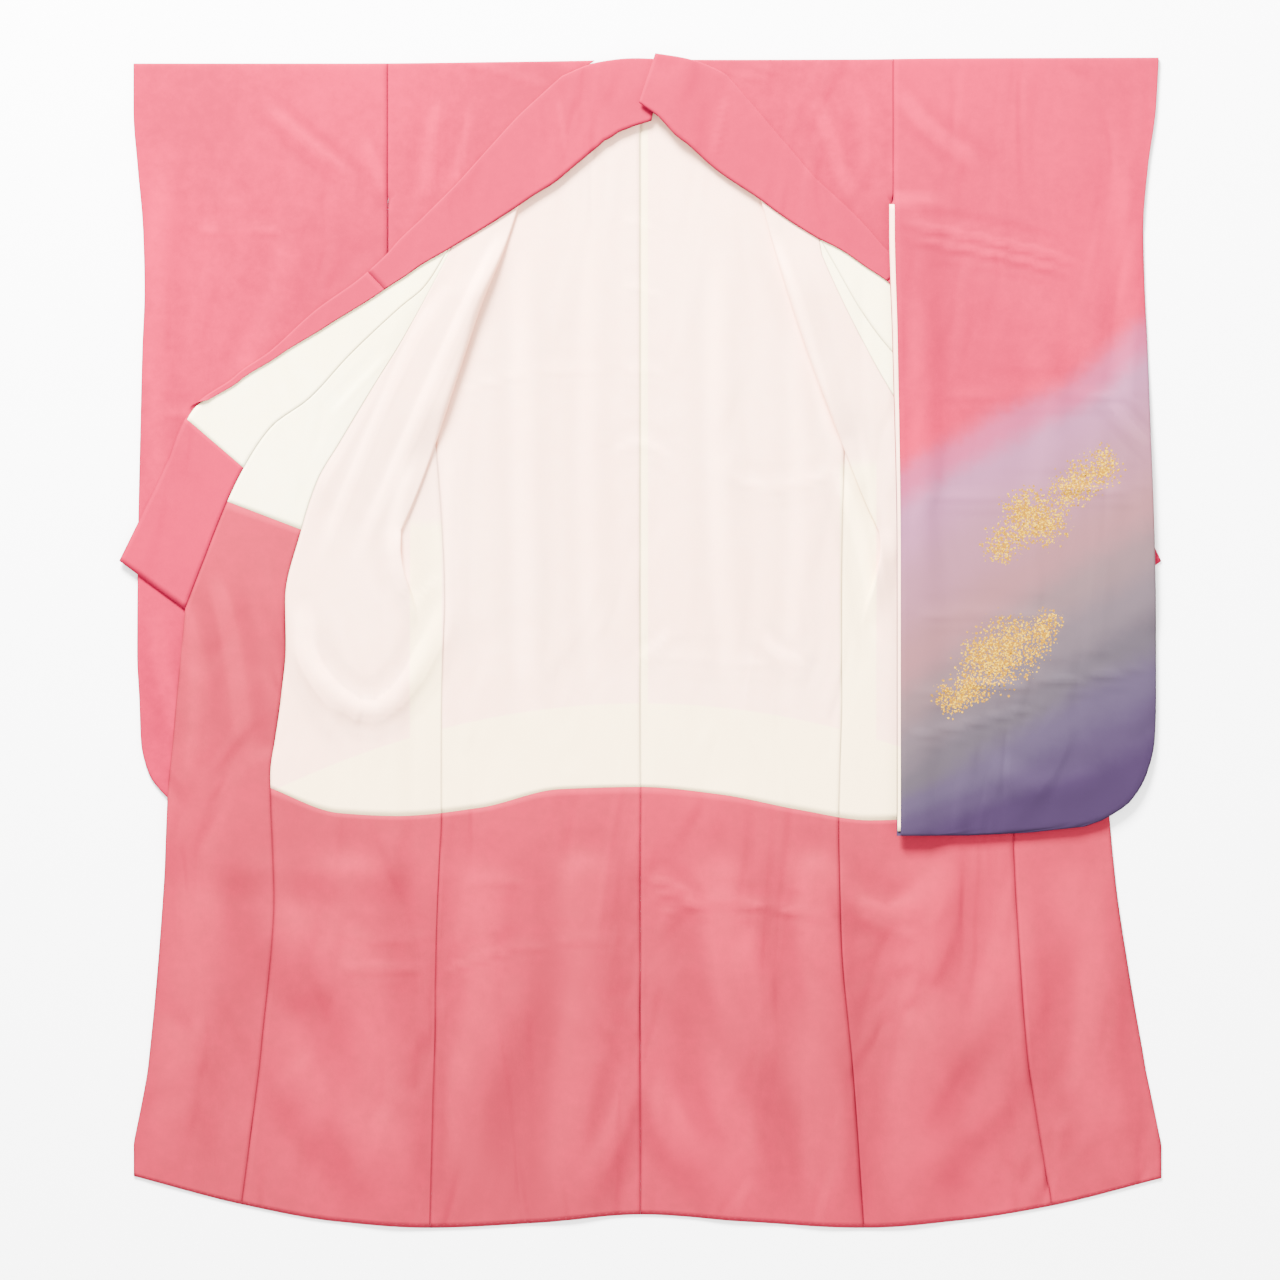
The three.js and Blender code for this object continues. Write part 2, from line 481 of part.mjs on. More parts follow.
function facingOut(vertices, index) {
  const geometry = new THREE.BufferGeometry();
  geometry.setAttribute("position", new THREE.Float32BufferAttribute(vertices, 3));
  let volume = 0;
  const corner = (k) => new THREE.Vector3().fromArray(vertices, 3 * index[k]);
  for (let k = 0; k < index.length; k += 3) volume += corner(k).dot(corner(k + 1).cross(corner(k + 2)));
  if (volume < 0) for (let k = 0; k < index.length; k += 3) [index[k + 1], index[k + 2]] = [index[k + 2], index[k + 1]];
  geometry.setIndex(index);
  return geometry;
}

// A block between two heights over a grid of plan points
function block(grid, low, high) {
  const middle = grid.map((row) => row.map(([x, y]) => flatPoint(x, y, (low(x, y) + high(x, y)) / 2)));
  const rows = middle.length;
  const shell = wall(middle, 1, 0);
  const places = shell.getAttribute("position");
  for (let k = 0; k < places.count; k += 1) {
    const level = k < rows * middle[0].length ? high : low;
    places.setZ(k, level(places.getX(k), places.getY(k)));
  }
  return shell;
}

// Floor of a sleeve: the right one lies flat, the left one lies on its front and the turned collar
const belowArmhole = (y) => smooth((ARMHOLE_END_Y + 2 - y) / ARMHOLE_STEP);
const sleeveFloor = (side, x, y) => (side === "right" ? 0
  : belowArmhole(y) * (UNDER_FRONT * pastSide(x)
    + SLEEVE_ON_BUNDLE * lift(BUNDLE_OUTLINE, x, y, BUNDLE_MARGIN, BUNDLE_RAMP)));

const wasm = await Module();
wasm.setup();
function solidOf(geometry) {
  const bare = mergeVertices(geometry.deleteAttribute("normal"), 1e-4);
  return new wasm.Manifold(new wasm.Mesh({
    numProp: 3, vertProperties: bare.getAttribute("position").array, triVerts: new Uint32Array(bare.index.array),
  }));
}
function geometryOf(solid) {
  const { vertProperties, triVerts } = solid.getMesh();
  const geometry = new THREE.BufferGeometry();
  geometry.setAttribute("position", new THREE.BufferAttribute(new Float32Array(vertProperties), 3));
  geometry.setIndex(new THREE.BufferAttribute(new Uint32Array(triVerts), 1));
  return geometry;
}

// A sleeve is a flat bag, open along the body side and at the wrist
const sleeveInner = (side, y) => (side === "left" && y < FURI_START_Y ? FURI_REACH : ARMHOLE_REACH + SEAM_INSET);
const SLEEVE_COLUMNS = [376, 420, 490, 560, 620];
function sleeveOutline(side, rows, innerBy, outerBy) {
  return rows.map((v) => {
    const inner = sleeveInner(side, v) + innerBy;
    const outer = curve(SLEEVE_EDGE, "y", side, v) + outerBy(v);
    const rim = outer - SLEEVE_RIM;
    const spread = SLEEVE_COLUMNS.map((reach, k) => Math.min(reach, mix(inner, rim, (k + 1) / 6)));
    return [inner, ...spread, rim, outer].map((reach) => {
      const x = signOf(side) * reach;
      return [x, rowY(v, x)];
    });
  });
}
function sleeve(side) {
  const floor = (x, y) => sleeveFloor(side, x, y);
  const bag = solidOf(block(sleeveOutline(side, SLEEVE_ROWS, 0, () => 0), floor, (x, y) => floor(x, y) + SLEEVE_HEIGHT));
  const hollowRows = SLEEVE_ROWS.slice(1, -1);
  const reachOut = (v) => (v > WRIST_END_Y ? 3 : -SLEEVE_RIM);
  const hollow = solidOf(block(sleeveOutline(side, hollowRows, -3, reachOut),
    (x, y) => floor(x, y) + CLOTH, (x, y) => floor(x, y) + SLEEVE_HEIGHT - CLOTH));
  let made = bag.subtract(hollow);
  if (side === "left") {
    const strip = SLEEVE_ROWS.filter((v) => v < 590).map((v) => [FURI_REACH - 4, FURI_TOP_REACH].map((x) => [x, v]));
    strip.push([[FURI_REACH - 4, -270], [FURI_TOP_REACH, -270]]);
    made = made.subtract(solidOf(block(strip, (x, y) => floor(x, y) + CLOTH,
      (x, y) => floor(x, y) + 2 * SLEEVE_HEIGHT)));
  }
  return geometryOf(made);
}
function sleeveLining() {
  const rows = SLEEVE_ROWS.filter((v) => v <= LINING_STRIP_TOP_Y && v > LINING_STRIP_END_Y);
  return rows.map((v) => [sleeveInner("left", v) + 1, ...SLEEVE_COLUMNS.slice(0, 2)].map((x) =>
    flatPoint(x, v, sleeveFloor("left", x, v) + PLY + CLOTH / 2)));
}

const furisode = new THREE.Group();
function piece(name, geometry, color) {
  const mesh = new THREE.Mesh(geometry, new THREE.MeshStandardMaterial({ color, roughness: 0.62, metalness: 0 }));
  mesh.name = name;
  furisode.add(mesh);
}
const ply = (grid, by) => wall(grid.map((row) => row.map((point) => offset(point, by))));
const upTo = (rows, v) => rows.filter((row) => row >= v);
const downFrom = (rows, v) => rows.filter((row) => row <= v);

for (const side of ["right", "left"]) {
  const back = (rows) => rows.map((v) => backRow(side, v));
  piece(`back_${side}`, ply(back(BACK_ROWS), OUTER), COLOURS.pink);
  piece(`back_lining_${side}`, ply(back(upTo(BACK_ROWS, LINING_END_V)), LINING), COLOURS.white);
  piece(`back_skirt_${side}`, ply(back(downFrom(BACK_ROWS, LINING_END_V)), LINING), COLOURS.skirt);
  const front = (rows) => rows.map((v) => frontRow(side, v));
  piece(`front_${side}`, ply(front(BODY_ROWS), OUTER), COLOURS.pink);
  piece(`front_lining_${side}`, ply(front(upTo(BODY_ROWS, LINING_END_V)), LINING), COLOURS.white);
  piece(`front_skirt_${side}`, ply(front(downFrom(BODY_ROWS, LINING_END_V)), LINING), COLOURS.skirt);
  const overlapRows = downFrom(BODY_ROWS, OVERLAP_TOP_V);
  const overlap = (rows) => rows.map((v) => overlapRow(side, v));
  piece(`okumi_${side}`, ply(overlap(overlapRows), OUTER), COLOURS.pink);
  piece(`okumi_lining_${side}`, ply(overlap(upTo(overlapRows, OVERLAP_LINING_END_V)), LINING), COLOURS.cream);
  piece(`okumi_skirt_${side}`, ply(overlap(downFrom(overlapRows, OVERLAP_LINING_END_V)), LINING), COLOURS.skirt);
  const nape = side === "right" ? NAPE_RIGHT : NAPE_LEFT;
  const overCollar = [...nape, ...upTo(COLLAR_ROWS, OVER_COLLAR_END_V).map((v) => collarAt(side, v))];
  piece(`over_collar_${side}`, wall(overCollar.map((row) => collarStation(side, row))), COLOURS.collar);
  const folded = downFrom(COLLAR_ROWS, OVER_COLLAR_END_V).filter((v) => v > UNTURN_ROWS[0]);
  const open = downFrom(COLLAR_ROWS, FACING_TOP_V);
  const collar = [
    ...folded.map((v) => collarStation(side, collarAt(side, v))),
    ...UNTURN_ROWS.map((v, k) => collarStation(side, collarAt(side, v), UNTURN_SHARES[k])),
    ...open.map((v) => collarStation(side, collarAt(side, v), 0)),
  ];
  piece(`collar_${side}`, wall(collar), COLOURS.collar);
  const lined = [...downFrom(COLLAR_ROWS, COLLAR_LINING_TOP_V).filter((v) => v > FACING_TOP_V), ...UNTURN_ROWS,
    FACING_TOP_V];
  piece(`collar_lining_${side}`, wall(lined.map((v) => collarLiningRow(side, v))), COLOURS.cream);
  piece(`collar_facing_${side}`, wall(open.map((v) => collarLiningRow(side, v, 0))), COLOURS.collar);
  piece(`sleeve_${side}`, sleeve(side), COLOURS.pink);
}
piece("sleeve_lining_left", wall(sleeveLining()), COLOURS.white);

export default furisode;
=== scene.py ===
"""A lined furisode laid open on its back, seen from straight above.

The tables below hold the garment's lines in millimetres in the row frame: +Y runs to the shoulders, +Z up off
the floor, minus X is the wearer's right. "Reach" is a distance from the centre back seam towards either side,
and a "row" is a line across the cloth, named by its height on a straight garment.
"""
import sys

import logging
import math
from collections.abc import Iterable, Mapping, Sequence
from dataclasses import dataclass, field
from enum import Enum

import bpy
import numpy as np
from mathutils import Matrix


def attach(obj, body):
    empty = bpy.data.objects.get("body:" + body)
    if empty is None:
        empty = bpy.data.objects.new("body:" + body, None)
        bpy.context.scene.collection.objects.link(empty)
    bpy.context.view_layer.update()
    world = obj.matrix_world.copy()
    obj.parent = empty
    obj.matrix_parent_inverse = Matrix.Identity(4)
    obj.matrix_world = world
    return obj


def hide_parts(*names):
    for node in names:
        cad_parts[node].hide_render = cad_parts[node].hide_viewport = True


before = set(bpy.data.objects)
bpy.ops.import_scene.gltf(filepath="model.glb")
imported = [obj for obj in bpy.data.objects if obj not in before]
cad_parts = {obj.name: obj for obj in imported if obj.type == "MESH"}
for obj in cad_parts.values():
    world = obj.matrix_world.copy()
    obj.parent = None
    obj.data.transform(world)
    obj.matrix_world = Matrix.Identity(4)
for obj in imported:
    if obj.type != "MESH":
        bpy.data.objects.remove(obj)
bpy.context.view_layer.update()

LOG = logging.getLogger("furisode")
MM = 0.001
Array = np.ndarray


class Side(Enum):
    """The wearer's side of the garment, with the sign of its X."""

    RIGHT = -1.0
    LEFT = 1.0

    @property
    def label(self) -> str:
        """Name of the side as the pieces carry it.

        Returns:
            The name.
        """
        return self.name.lower()


class Layer(Enum):
    """Cloths of a lined panel, with their distance from the middle line between the two."""

    OUTER = -1.0
    LINING = 0.75


# Sizes that the whole garment shares, in millimetres

PLY = 1.5  # from one cloth to the next in a stack
MIDDLE = 1.35  # middle line of the lowest pair above the floor
UNDER_FRONT = 4 * PLY  # the two pairs of cloths below the top one
SHELL = 0.6  # thickness of a cloth
SEAM_INSET = 0.07  # each panel ends this far short of its seam line
ROW_STEP = 8.0  # distance between the rows of a grid

SHOULDER_Y = 787.0
HEM_Y = -792.0
TOP_BAND = 700.0  # rows above it follow the shoulder line
HEM_BAND = -580.0  # rows below it follow the hem line
LINING_END = -220.0  # row where the white lining meets the skirt lining
LINING_BAND = 80.0
ARMHOLE_REACH = 341.0
ARMHOLE_END = 602.0
SIDE_TURNED = 560.0  # from this row down the side is fully turned under
FOLD_START = 757.0
FOLD_TURNED = 725.0  # from this row down the front lies fully doubled back
OVERLAP_TOP = 520.0
OVERLAP_TIP = 544.0  # its tip narrows to nothing here
OVERLAP_LINING_END = 150.0
DOUBLED_END = 150.0  # below this row the front's double fold opens out
FOLD_FLAT = 20.0
COLLAR_END = 43.0
OVER_COLLAR_END = 450.0
FACING_TOP = 220.0
COLLAR_TURNED = 262.0  # the collar is folded above this row and flat below the next
COLLAR_FLAT = 230.0
COLLAR_LINING_TOP = 560.0
TURNED_SIDE_REACH = 340.8  # where a front turns under at its side
SMALLEST_TURN = 1.5  # middle radius of a pressed fold of outer cloth and lining
SHORTEST_ARC = 3.0
EDGE_STRIP = 15.0  # cloth at the armhole that the side turn starts from
NECK_REACH = 62.0
NECK_DROP = 19.0  # the back neckline lies this far below the shoulder line
CREST = 6.0  # radius that the soft roll of a front's fold adds
SEWN_GAP = 0.33  # from the middle of a sewn edge to either of its two cloths
STACK = 5.7  # height of two pairs of cloths, or of a sleeve
SHOULDER_RIM = 3.4  # front and back come together over this width at the shoulder fold
RIM_ROWS = (786.8, 786.3, 785.4, 783.6)
COLLAR_BASE = 0.35  # middle of the collar's lower cloth above what it lies on
COLLAR_TURN = 2.1  # middle radius of the collar's soft fold
COLLAR_HALF = 0.6  # room between that fold and the collar's edge line
NAPE_LIFT = 6.4  # the left half of the over-collar lies on the right half at the nape
SLEEVE_ON_BUNDLE = 7.2  # room for the overlap panel and the turned collar below the left sleeve
SLEEVE_TOP = 779.0
SLEEVE_FOOT = -262.0
SLEEVE_MARGIN, SLEEVE_RAMP = 40.0, 60.0  # the front comes down from the right sleeve over this width
BUNDLE_MARGIN, BUNDLE_RAMP = 35.0, 75.0  # the same for the left sleeve on the overlap panel
UNDER_SLEEVE_TOP, UNDER_SLEEVE_RAMP = 604.0, 16.0  # the left sleeve climbs onto the body over these rows
PAST_SIDE, PAST_SIDE_RAMP = 376.0, 44.0  # cloth comes down past the body's turned side
FREE_EDGE_TOP, FREE_EDGE_RAMP = 596.0, 16.0  # below the armhole a sleeve's inner edge is free
SIDE_ROWS = (749.0, 741.0, 733.0, 592.0, 582.0, 572.0)  # rows that the side's and the fold's turns are cut at
HINGE_ROOM = 20.0  # least cloth under an opening fold
FOLD_TAIL = 1.2  # cloth past a fold that isn't turned yet
CREST_TOP_RAMP, CREST_END, CREST_RAMP = 100.0, 240.0, 90.0  # the roll of a front's fold swells and fades
SHORT_FALL, LONG_FALL = 30.0, 70.0  # width over which the top ply comes down from its fold
TOP_SPREAD = 1.15  # crowds the top ply's cells towards its fold
OVERLAP_RISE, OVERLAP_RISE_SPAN = 38.0, 107.0  # rows rise outwards round the end of the cream lining
NECK_FLAT, NECK_CURVE = 60.0, 50.0  # straight part and curve of the back neckline
NAPE_REACH, NAPE_FADE = 45.0, 55.0  # the over-collar's upper half comes down over this reach
OPEN_FLAP, SMALLEST_FLAP = 2.5, 4.0  # least turned width of the collar where it opens and where it is folded
COLLAR_STEP = 5.0
COLLAR_EDGE_RAMP = 16.0  # cuts of the collar slant over this height
NAPE_CUTS = 18
LINING_STEP, LINING_CELLS, LINING_ROOM = 6.0, 16, 0.25  # rows, cells and gap of the collar's lining
STITCH_LIFT = 0.05  # gap under the stitches' middle line
SKIRT_TOP, SKIRT_RAMP = -255.0, 60.0  # the skirt's ridges start here
SEWN_REACHES = (1.6, 0.7, 0.2, 0.0)  # columns of a sleeve beside its sewn edge
SEWN_ROWS = (-260.4, -261.3, -261.8, SLEEVE_FOOT)  # rows of a sleeve beside its sewn foot


# Lines of the garment


@dataclass(frozen=True)
class Line:
    """A smooth line through a few points, level beyond its ends.

    Args:
        points: pairs of place and value.
    """

    points: tuple[tuple[float, float], ...]

    def at(self, place: float | Array) -> Array:
        """Value of the line at a place or at each of several.

        Args:
            place: where to read the line.

        Returns:
            The values, one for each place.
        """
        pairs = np.array(sorted(self.points))
        xs, ys = pairs[:, 0], pairs[:, 1]
        slopes = np.diff(ys) / np.diff(xs)
        product = slopes[:-1] * slopes[1:]
        total = np.where(product > 0, slopes[:-1] + slopes[1:], 1.0)
        inner = np.where(product > 0, 2 * product / total, 0.0)
        tangents = np.concatenate([slopes[:1], inner, slopes[-1:]])
        x = np.clip(place, xs[0], xs[-1])
        k = np.clip(np.searchsorted(xs, x) - 1, 0, len(xs) - 2)
        span = xs[k + 1] - xs[k]
        t = (x - xs[k]) / span
        return (
            (2 * t**3 - 3 * t**2 + 1) * ys[k]
            + (t**3 - 2 * t**2 + t) * span * tangents[k]
            + (3 * t**2 - 2 * t**3) * ys[k + 1]
            + (t**3 - t**2) * span * tangents[k + 1]
        )


def sided(rows: Sequence[tuple[float, float, float]]) -> dict[Side, Line]:
    """Two lines, one for each side.

    Args:
        rows: place, right value and left value of each point.

    Returns:
        The lines by side.
    """
    return {
        Side.RIGHT: Line(tuple((row[0], row[1]) for row in rows)),
        Side.LEFT: Line(tuple((row[0], row[2]) for row in rows)),
    }


SHOULDER = Line((
    (-684, 779), (-406, 779), (-163, 781.5), (-48, 783.5), (0, 785), (107, 784), (283, 784.5), (418, 786),
    (697, 787),
))
HEM = Line((
    (-684, -722), (-535, -761), (-406, -784), (-284, -792), (-149, -786), (3, -774), (134, -783), (302, -792),
    (431, -782), (551, -763), (703, -725),
))
LINING_EDGE = Line((
    (-500, -198), (-406, -232), (-325, -236), (-217, -225), (-109, -200), (0, -197), (107, -207), (215, -228),
    (310, -242), (500, -230),
))
SIDE_SEAM = sided((
    (787, 341, 341), (645, 341, 341), (602, 326, 326), (560, 326, 326), (520, 322, 322), (433, 309, 310),
    (262, 276, 276), (55, 264, 272), (-80, 268, 272), (-234, 269, 268), (-397, 275, 271), (-593, 279, 288),
    (-792, 284, 302),
))
OVERLAP_SEAM = sided((
    (541, 249, 236), (481, 280, 262), (404, 322, 300), (346, 358, 332), (266, 406, 385), (217, 435, 425),
    (147, 458, 455), (55, 479, 479), (-5, 478, 478), (-80, 485, 485), (-198, 499, 500), (-346, 494, 507),
    (-537, 510, 520), (-630, 520, 532), (-792, 538, 555),
))
FRONT_EDGE = sided((
    (43, 614, 614), (-80, 626, 624), (-215, 637, 632), (-323, 643, 641), (-458, 653, 661), (-579, 665, 682),
    (-725, 684, 703),
))
FRONT_FOLD = sided((
    (757, 95, 100), (725, 127, 131), (690, 143, 143), (645, 151, 151), (599, 161, 161), (532, 182, 179),
    (455, 213, 202), (362, 244, 234), (269, 275, 270), (186, 306, 303), (150, 322, 320),
))
SLEEVE_EDGE = sided((
    (787, 684, 699), (717, 684, 695), (636, 678, 684), (555, 671, 678), (474, 669, 680), (393, 672, 684),
    (271, 675, 688), (124, 678, 693), (-19, 679, 695), (-80, 676, 695), (-134, 674, 693), (-177, 664, 683),
    (-215, 634, 661), (-236, 600, 632), (-250, 555, 598), (-258, 505, 525), (-262, 440, 440),
))
# Free inner edges of the left sleeve's lower cloth, and of its upper cloth, which shows the lining beside it
FURI_REACH = Line(((-262, 345), (108, 345), (400, 339), (560, 334), (590, 334)))
FURI_TOP_REACH = Line(((-262, 350), (108, 350), (400, 346), (560, 342), (590, 342)))
# Double fold of a front where it opens out: turn in degrees, cloth between the turns, reach of the lower turn
FOLD_TURN = Line(((150, 180), (124, 144), (98, 108), (72, 72), (43, 36), (20, 1)))
FOLD_BETWEEN = Line(((150, 13), (124, 9), (98, 6), (72, 4), (43, 2.5), (20, 1.5)))
FOLD_REACH = Line(((150, 337.95), (124, 331), (98, 321), (72, 310), (43, 300), (20, 296)))


@dataclass(frozen=True)
class Station:
    """One cut across the collar band, from its seam to its outer edge.

    Args:
        seam_reach: reach of the seam.
        seam_y: height of the seam.
        edge_reach: reach of the folded edge.
        edge_y: height of the folded edge.
        turned: width that lies turned over onto the garment.
    """

    seam_reach: float
    seam_y: float
    edge_reach: float
    edge_y: float
    turned: float

    @property
    def width(self) -> float:
        """Distance from the seam to the folded edge.

        Returns:
            The distance.
        """
        return math.hypot(self.edge_reach - self.seam_reach, self.edge_y - self.seam_y)

    @property
    def angle(self) -> float:
        """Direction from the seam to the folded edge, from the outward one.

        Returns:
            The angle, in radians.
        """
        return math.atan2(self.edge_y - self.seam_y, self.edge_reach - self.seam_reach)

    @classmethod
    def towards(cls, reach: float, y: float, width: float, angle: float, turned: float) -> "Station":
        """A cut that starts at a place on the seam and runs in a direction.

        Args:
            reach: reach of the place.
            y: its height.
            width: distance to the folded edge.
            angle: direction to that edge, from the outward one.
            turned: width that lies turned over.

        Returns:
            The cut.
        """
        return cls(reach, y, reach + width * math.cos(angle), y + width * math.sin(angle), turned)


COLLAR_STATIONS: dict[Side, tuple[Station, ...]] = {
    Side.RIGHT: (
        Station(94, 765, 97, 770, 103), Station(129, 731, 134, 737, 101), Station(164, 692, 172, 701, 98),
        Station(194, 642, 211, 658, 85), Station(222, 589, 249, 616, 70), Station(255, 535, 293, 572, 55),
        Station(292, 476, 337, 528, 39), Station(323, 450, 368, 498, 31), Station(393, 384, 441, 444, 24),
        Station(448, 325, 497, 393, 10), Station(496, 290, 545, 359, 7), Station(531, 240, 608, 310, 4),
        Station(557, 188, 639, 240, 0), Station(590, 105, 676, 163, 0), Station(614, 43, 703, 108, 0),
    ),
    Side.LEFT: (
        Station(106, 765, 110, 771, 107), Station(139, 724, 146, 730, 99), Station(160, 695, 169, 703, 94),
        Station(205, 625, 222, 641, 72), Station(239, 548, 279, 585, 57), Station(265, 501, 331, 529, 40),
        Station(296, 447, 360, 505, 31), Station(330, 400, 400, 472, 28), Station(385, 345, 441, 436, 24),
        Station(440, 305, 497, 391, 10), Station(487, 270, 545, 355, 7), Station(531, 240, 608, 310, 4),
        Station(557, 188, 639, 240, 0), Station(590, 105, 676, 163, 0), Station(614, 43, 703, 108, 0),
    ),
}
# The same band round the back of the neck
NAPE_STATIONS: dict[Side, tuple[Station, ...]] = {
    Side.RIGHT: (
        Station(-26, 772, -28, 785, 82), Station(14, 771, 15, 786, 90), Station(52, 769, 56, 781, 96),
    ),
    Side.LEFT: (Station(17, 783, 20, 792, 68), Station(62, 776, 67, 784, 86)),
}


@dataclass(frozen=True)
class Band:
    """The collar band of one side as lines that follow the height of its seam.

    Args:
        side: which side of the garment.
    """

    side: Side

    def _line(self, name: str) -> Line:
        """One of the stations' values as a line along the seam.

        Args:
            name: which value.

        Returns:
            The line.
        """
        stations = COLLAR_STATIONS[self.side]
        return Line(tuple((station.seam_y, getattr(station, name)) for station in stations))

    def station(self, y: float) -> Station:
        """The cut across the band.

        Args:
            y: height of its seam there.

        Returns:
            The cut.
        """
        place = float(y)
        values = (float(self._line(name).at(place)) for name in ("width", "angle", "turned"))
        return Station.towards(float(self.seam(place)), place, *values)

    def seam(self, y: float | Array) -> Array:
        """Reach of the band's seam.

        Args:
            y: height, or several.

        Returns:
            The reach at each height.
        """
        return self._line("seam_reach").at(y)

    def nape(self, count: int, end: float) -> list[Station]:
        """Cuts round the back of the neck, up to the one at a height of the seam.

        Args:
            count: how many cuts.
            end: seam height of the cut that they lead up to, which is left out.

        Returns:
            The cuts, from the centre outwards.
        """
        known = [*NAPE_STATIONS[self.side], self.station(end), self.station(end - 30)]
        pairs = zip(known, known[1:])
        steps = [math.hypot(b.seam_reach - a.seam_reach, b.seam_y - a.seam_y) for a, b in pairs]
        along = np.concatenate([[0.0], np.cumsum(steps)])
        places = np.linspace(0, along[-2], count + 1)[:-1]
        columns = []
        for name in ("seam_reach", "seam_y", "width", "angle", "turned"):
            line = Line(tuple((at, getattr(station, name)) for at, station in zip(along, known)))
            columns.append(line.at(places))
        return [Station.towards(*map(float, row)) for row in zip(*columns)]


# How the cloth lies


def smooth(value: float | Array) -> Array:
    """Soft step.

    Args:
        value: place on the step, which starts at 0 and ends at 1.

    Returns:
        Share of the step, from 0 to 1.
    """
    t = np.clip(value, 0.0, 1.0)
    return t * t * (3 - 2 * t)


@dataclass(frozen=True)
class Crease:
    """A soft ridge or trough that a person would place by hand.

    Args:
        start: where it begins.
        middle: a point that it passes.
        end: where it runs out.
        width: distance from its crest to flat cloth.
        height: height of its crest, negative for a trough.
        sharp: 1 for a rounded crest, more for a pressed one.
        ends: how soon it comes up from its ends, 2 for a slope as long as half of it.
    """

    start: tuple[float, float]
    middle: tuple[float, float]
    end: tuple[float, float]
    width: float
    height: float
    sharp: float = 1.0
    ends: float = 4.0

    def at(self, x: Array, y: Array) -> Array:
        """Height that the crease adds.

        Args:
            x: places along X.
            y: places along Y.

        Returns:
            The height at each place.
        """
        cells = 8
        steps = np.linspace(0, 1, cells + 1)
        bend = 2 * np.array(self.middle) - 0.5 * (np.array(self.start) + np.array(self.end))
        path = np.outer((1 - steps) ** 2, self.start) + np.outer(2 * steps * (1 - steps), bend)
        path += np.outer(steps**2, self.end)
        total = np.zeros(x.shape)
        low, high = path.min(axis=0) - self.width, path.max(axis=0) + self.width
        near = (x > low[0]) & (x < high[0]) & (y > low[1]) & (y < high[1])
        if not near.any():
            return total
        px, py = x[near], y[near]
        nearest = np.full(px.shape, np.inf)
        along = np.zeros(px.shape)
        for k in range(cells):
            (ax, ay), (bx, by) = path[k], path[k + 1]
            length = (bx - ax) ** 2 + (by - ay) ** 2
            t = np.clip(((px - ax) * (bx - ax) + (py - ay) * (by - ay)) / length, 0, 1)
            distance = np.hypot(px - ax - t * (bx - ax), py - ay - t * (by - ay))
            closer = distance < nearest
            nearest = np.where(closer, distance, nearest)
            along = np.where(closer, (k + t) / cells, along)
        across = smooth(1 - nearest / self.width) ** self.sharp
        start = 0.1
        rise = smooth(along * self.ends + start) * smooth((1 - along) * self.ends + start)
        total[near] = self.height * across * rise
        return total


@dataclass(frozen=True)
class Ridge:
    """A broad soft ridge that runs down the skirt.

    Args:
        top: its upper end.
        foot: its lower end.
        width: distance from its crest to flat cloth.
        height: height of its crest.
    """

    top: tuple[float, float]
    foot: tuple[float, float]
    width: float
    height: float

    def at(self, x: Array, y: Array) -> Array:
        """Height that the ridge adds.

        Args:
            x: places along X.
            y: places along Y.

        Returns:
            The height at each place.
        """
        dx, dy = self.foot[0] - self.top[0], self.foot[1] - self.top[1]
        length = math.hypot(dx, dy)
        along = ((x - self.top[0]) * dx + (y - self.top[1]) * dy) / length**2
        aside = ((x - self.top[0]) * dy - (y - self.top[1]) * dx) / length
        across = smooth(1 - np.abs(aside) / self.width)
        return self.height * across * smooth(along * 3 + 0.6) * smooth((1.15 - along) * 3)


RIDGES = (
    Ridge((-600, -330), (-640, -700), 60, 5),
    Ridge((-395, -300), (-335, -760), 75, 9),
    Ridge((-215, -330), (-235, -740), 60, 6),
    Ridge((-75, -290), (-95, -760), 65, 8),
    Ridge((110, -320), (130, -760), 65, 7),
    Ridge((235, -300), (250, -760), 60, 8),
    Ridge((385, -330), (360, -760), 75, 9),
    Ridge((590, -340), (630, -700), 60, 5),
)


# Folds placed one by one. Swags hang in curves from the turned fronts to the hem.
SKIRT_FOLDS = (
    Crease((-493, -269), (-446, -410), (-325, -491), 80, 9.5, ends=1.9),
    Crease((-473, -500), (-412, -640), (-300, -712), 70, 6.5, ends=1.9),
    Crease((-590, -250), (-575, -430), (-600, -640), 52, 3.2, ends=1.9),
    Crease((-136, -280), (-183, -498), (-264, -668), 76, 7.0, ends=1.9),
    Crease((-14, -540), (-34, -655), (-82, -760), 32, 4.6, ends=1.9),
    Crease((107, -300), (161, -498), (276, -706), 72, 8.5, ends=1.9),
    Crease((10, -560), (50, -660), (120, -745), 48, 5.2, ends=1.9),
    Crease((532, -300), (465, -498), (306, -650), 84, 10.0, ends=1.9),
    Crease((548, -440), (470, -610), (345, -735), 46, 4.2, ends=1.9),
    Crease((640, -330), (606, -540), (560, -720), 48, 3.6, ends=1.9),
    Crease((268, -290), (330, -372), (432, -305), 38, 4.6, ends=1.9),
    Crease((-270, -540), (-240, -620), (-262, -730), 36, 2.6, ends=1.9),
)
# Fine pressed creases of the skirt, left by its storage folds
SKIRT_CREASES = (
    Crease((-406, -395), (-345, -400), (-277, -397), 8, 1.3, 1.4),
    Crease((-406, -444), (-350, -440), (-284, -441), 10, 1.6, 1.4),
    Crease((-268, -446), (-222, -428), (-160, -408), 8, 1.4, 1.4),
    Crease((-180, -415), (-90, -404), (-6, -397), 7, 1.2, 1.4),
    Crease((6, -322), (40, -326), (78, -345), 8, 1.8, 1.3),
    Crease((10, -350), (48, -340), (80, -362), 8, 1.6, 1.3),
    Crease((14, -372), (120, -352), (269, -379), 8, 1.6, 1.4),
    Crease((80, -340), (160, -358), (262, -371), 7, 1.2, 1.4),
    Crease((-250, -330), (-190, -322), (-150, -330), 9, 1.0),
    Crease((290, -350), (330, -358), (380, -350), 8, 1.1),
)
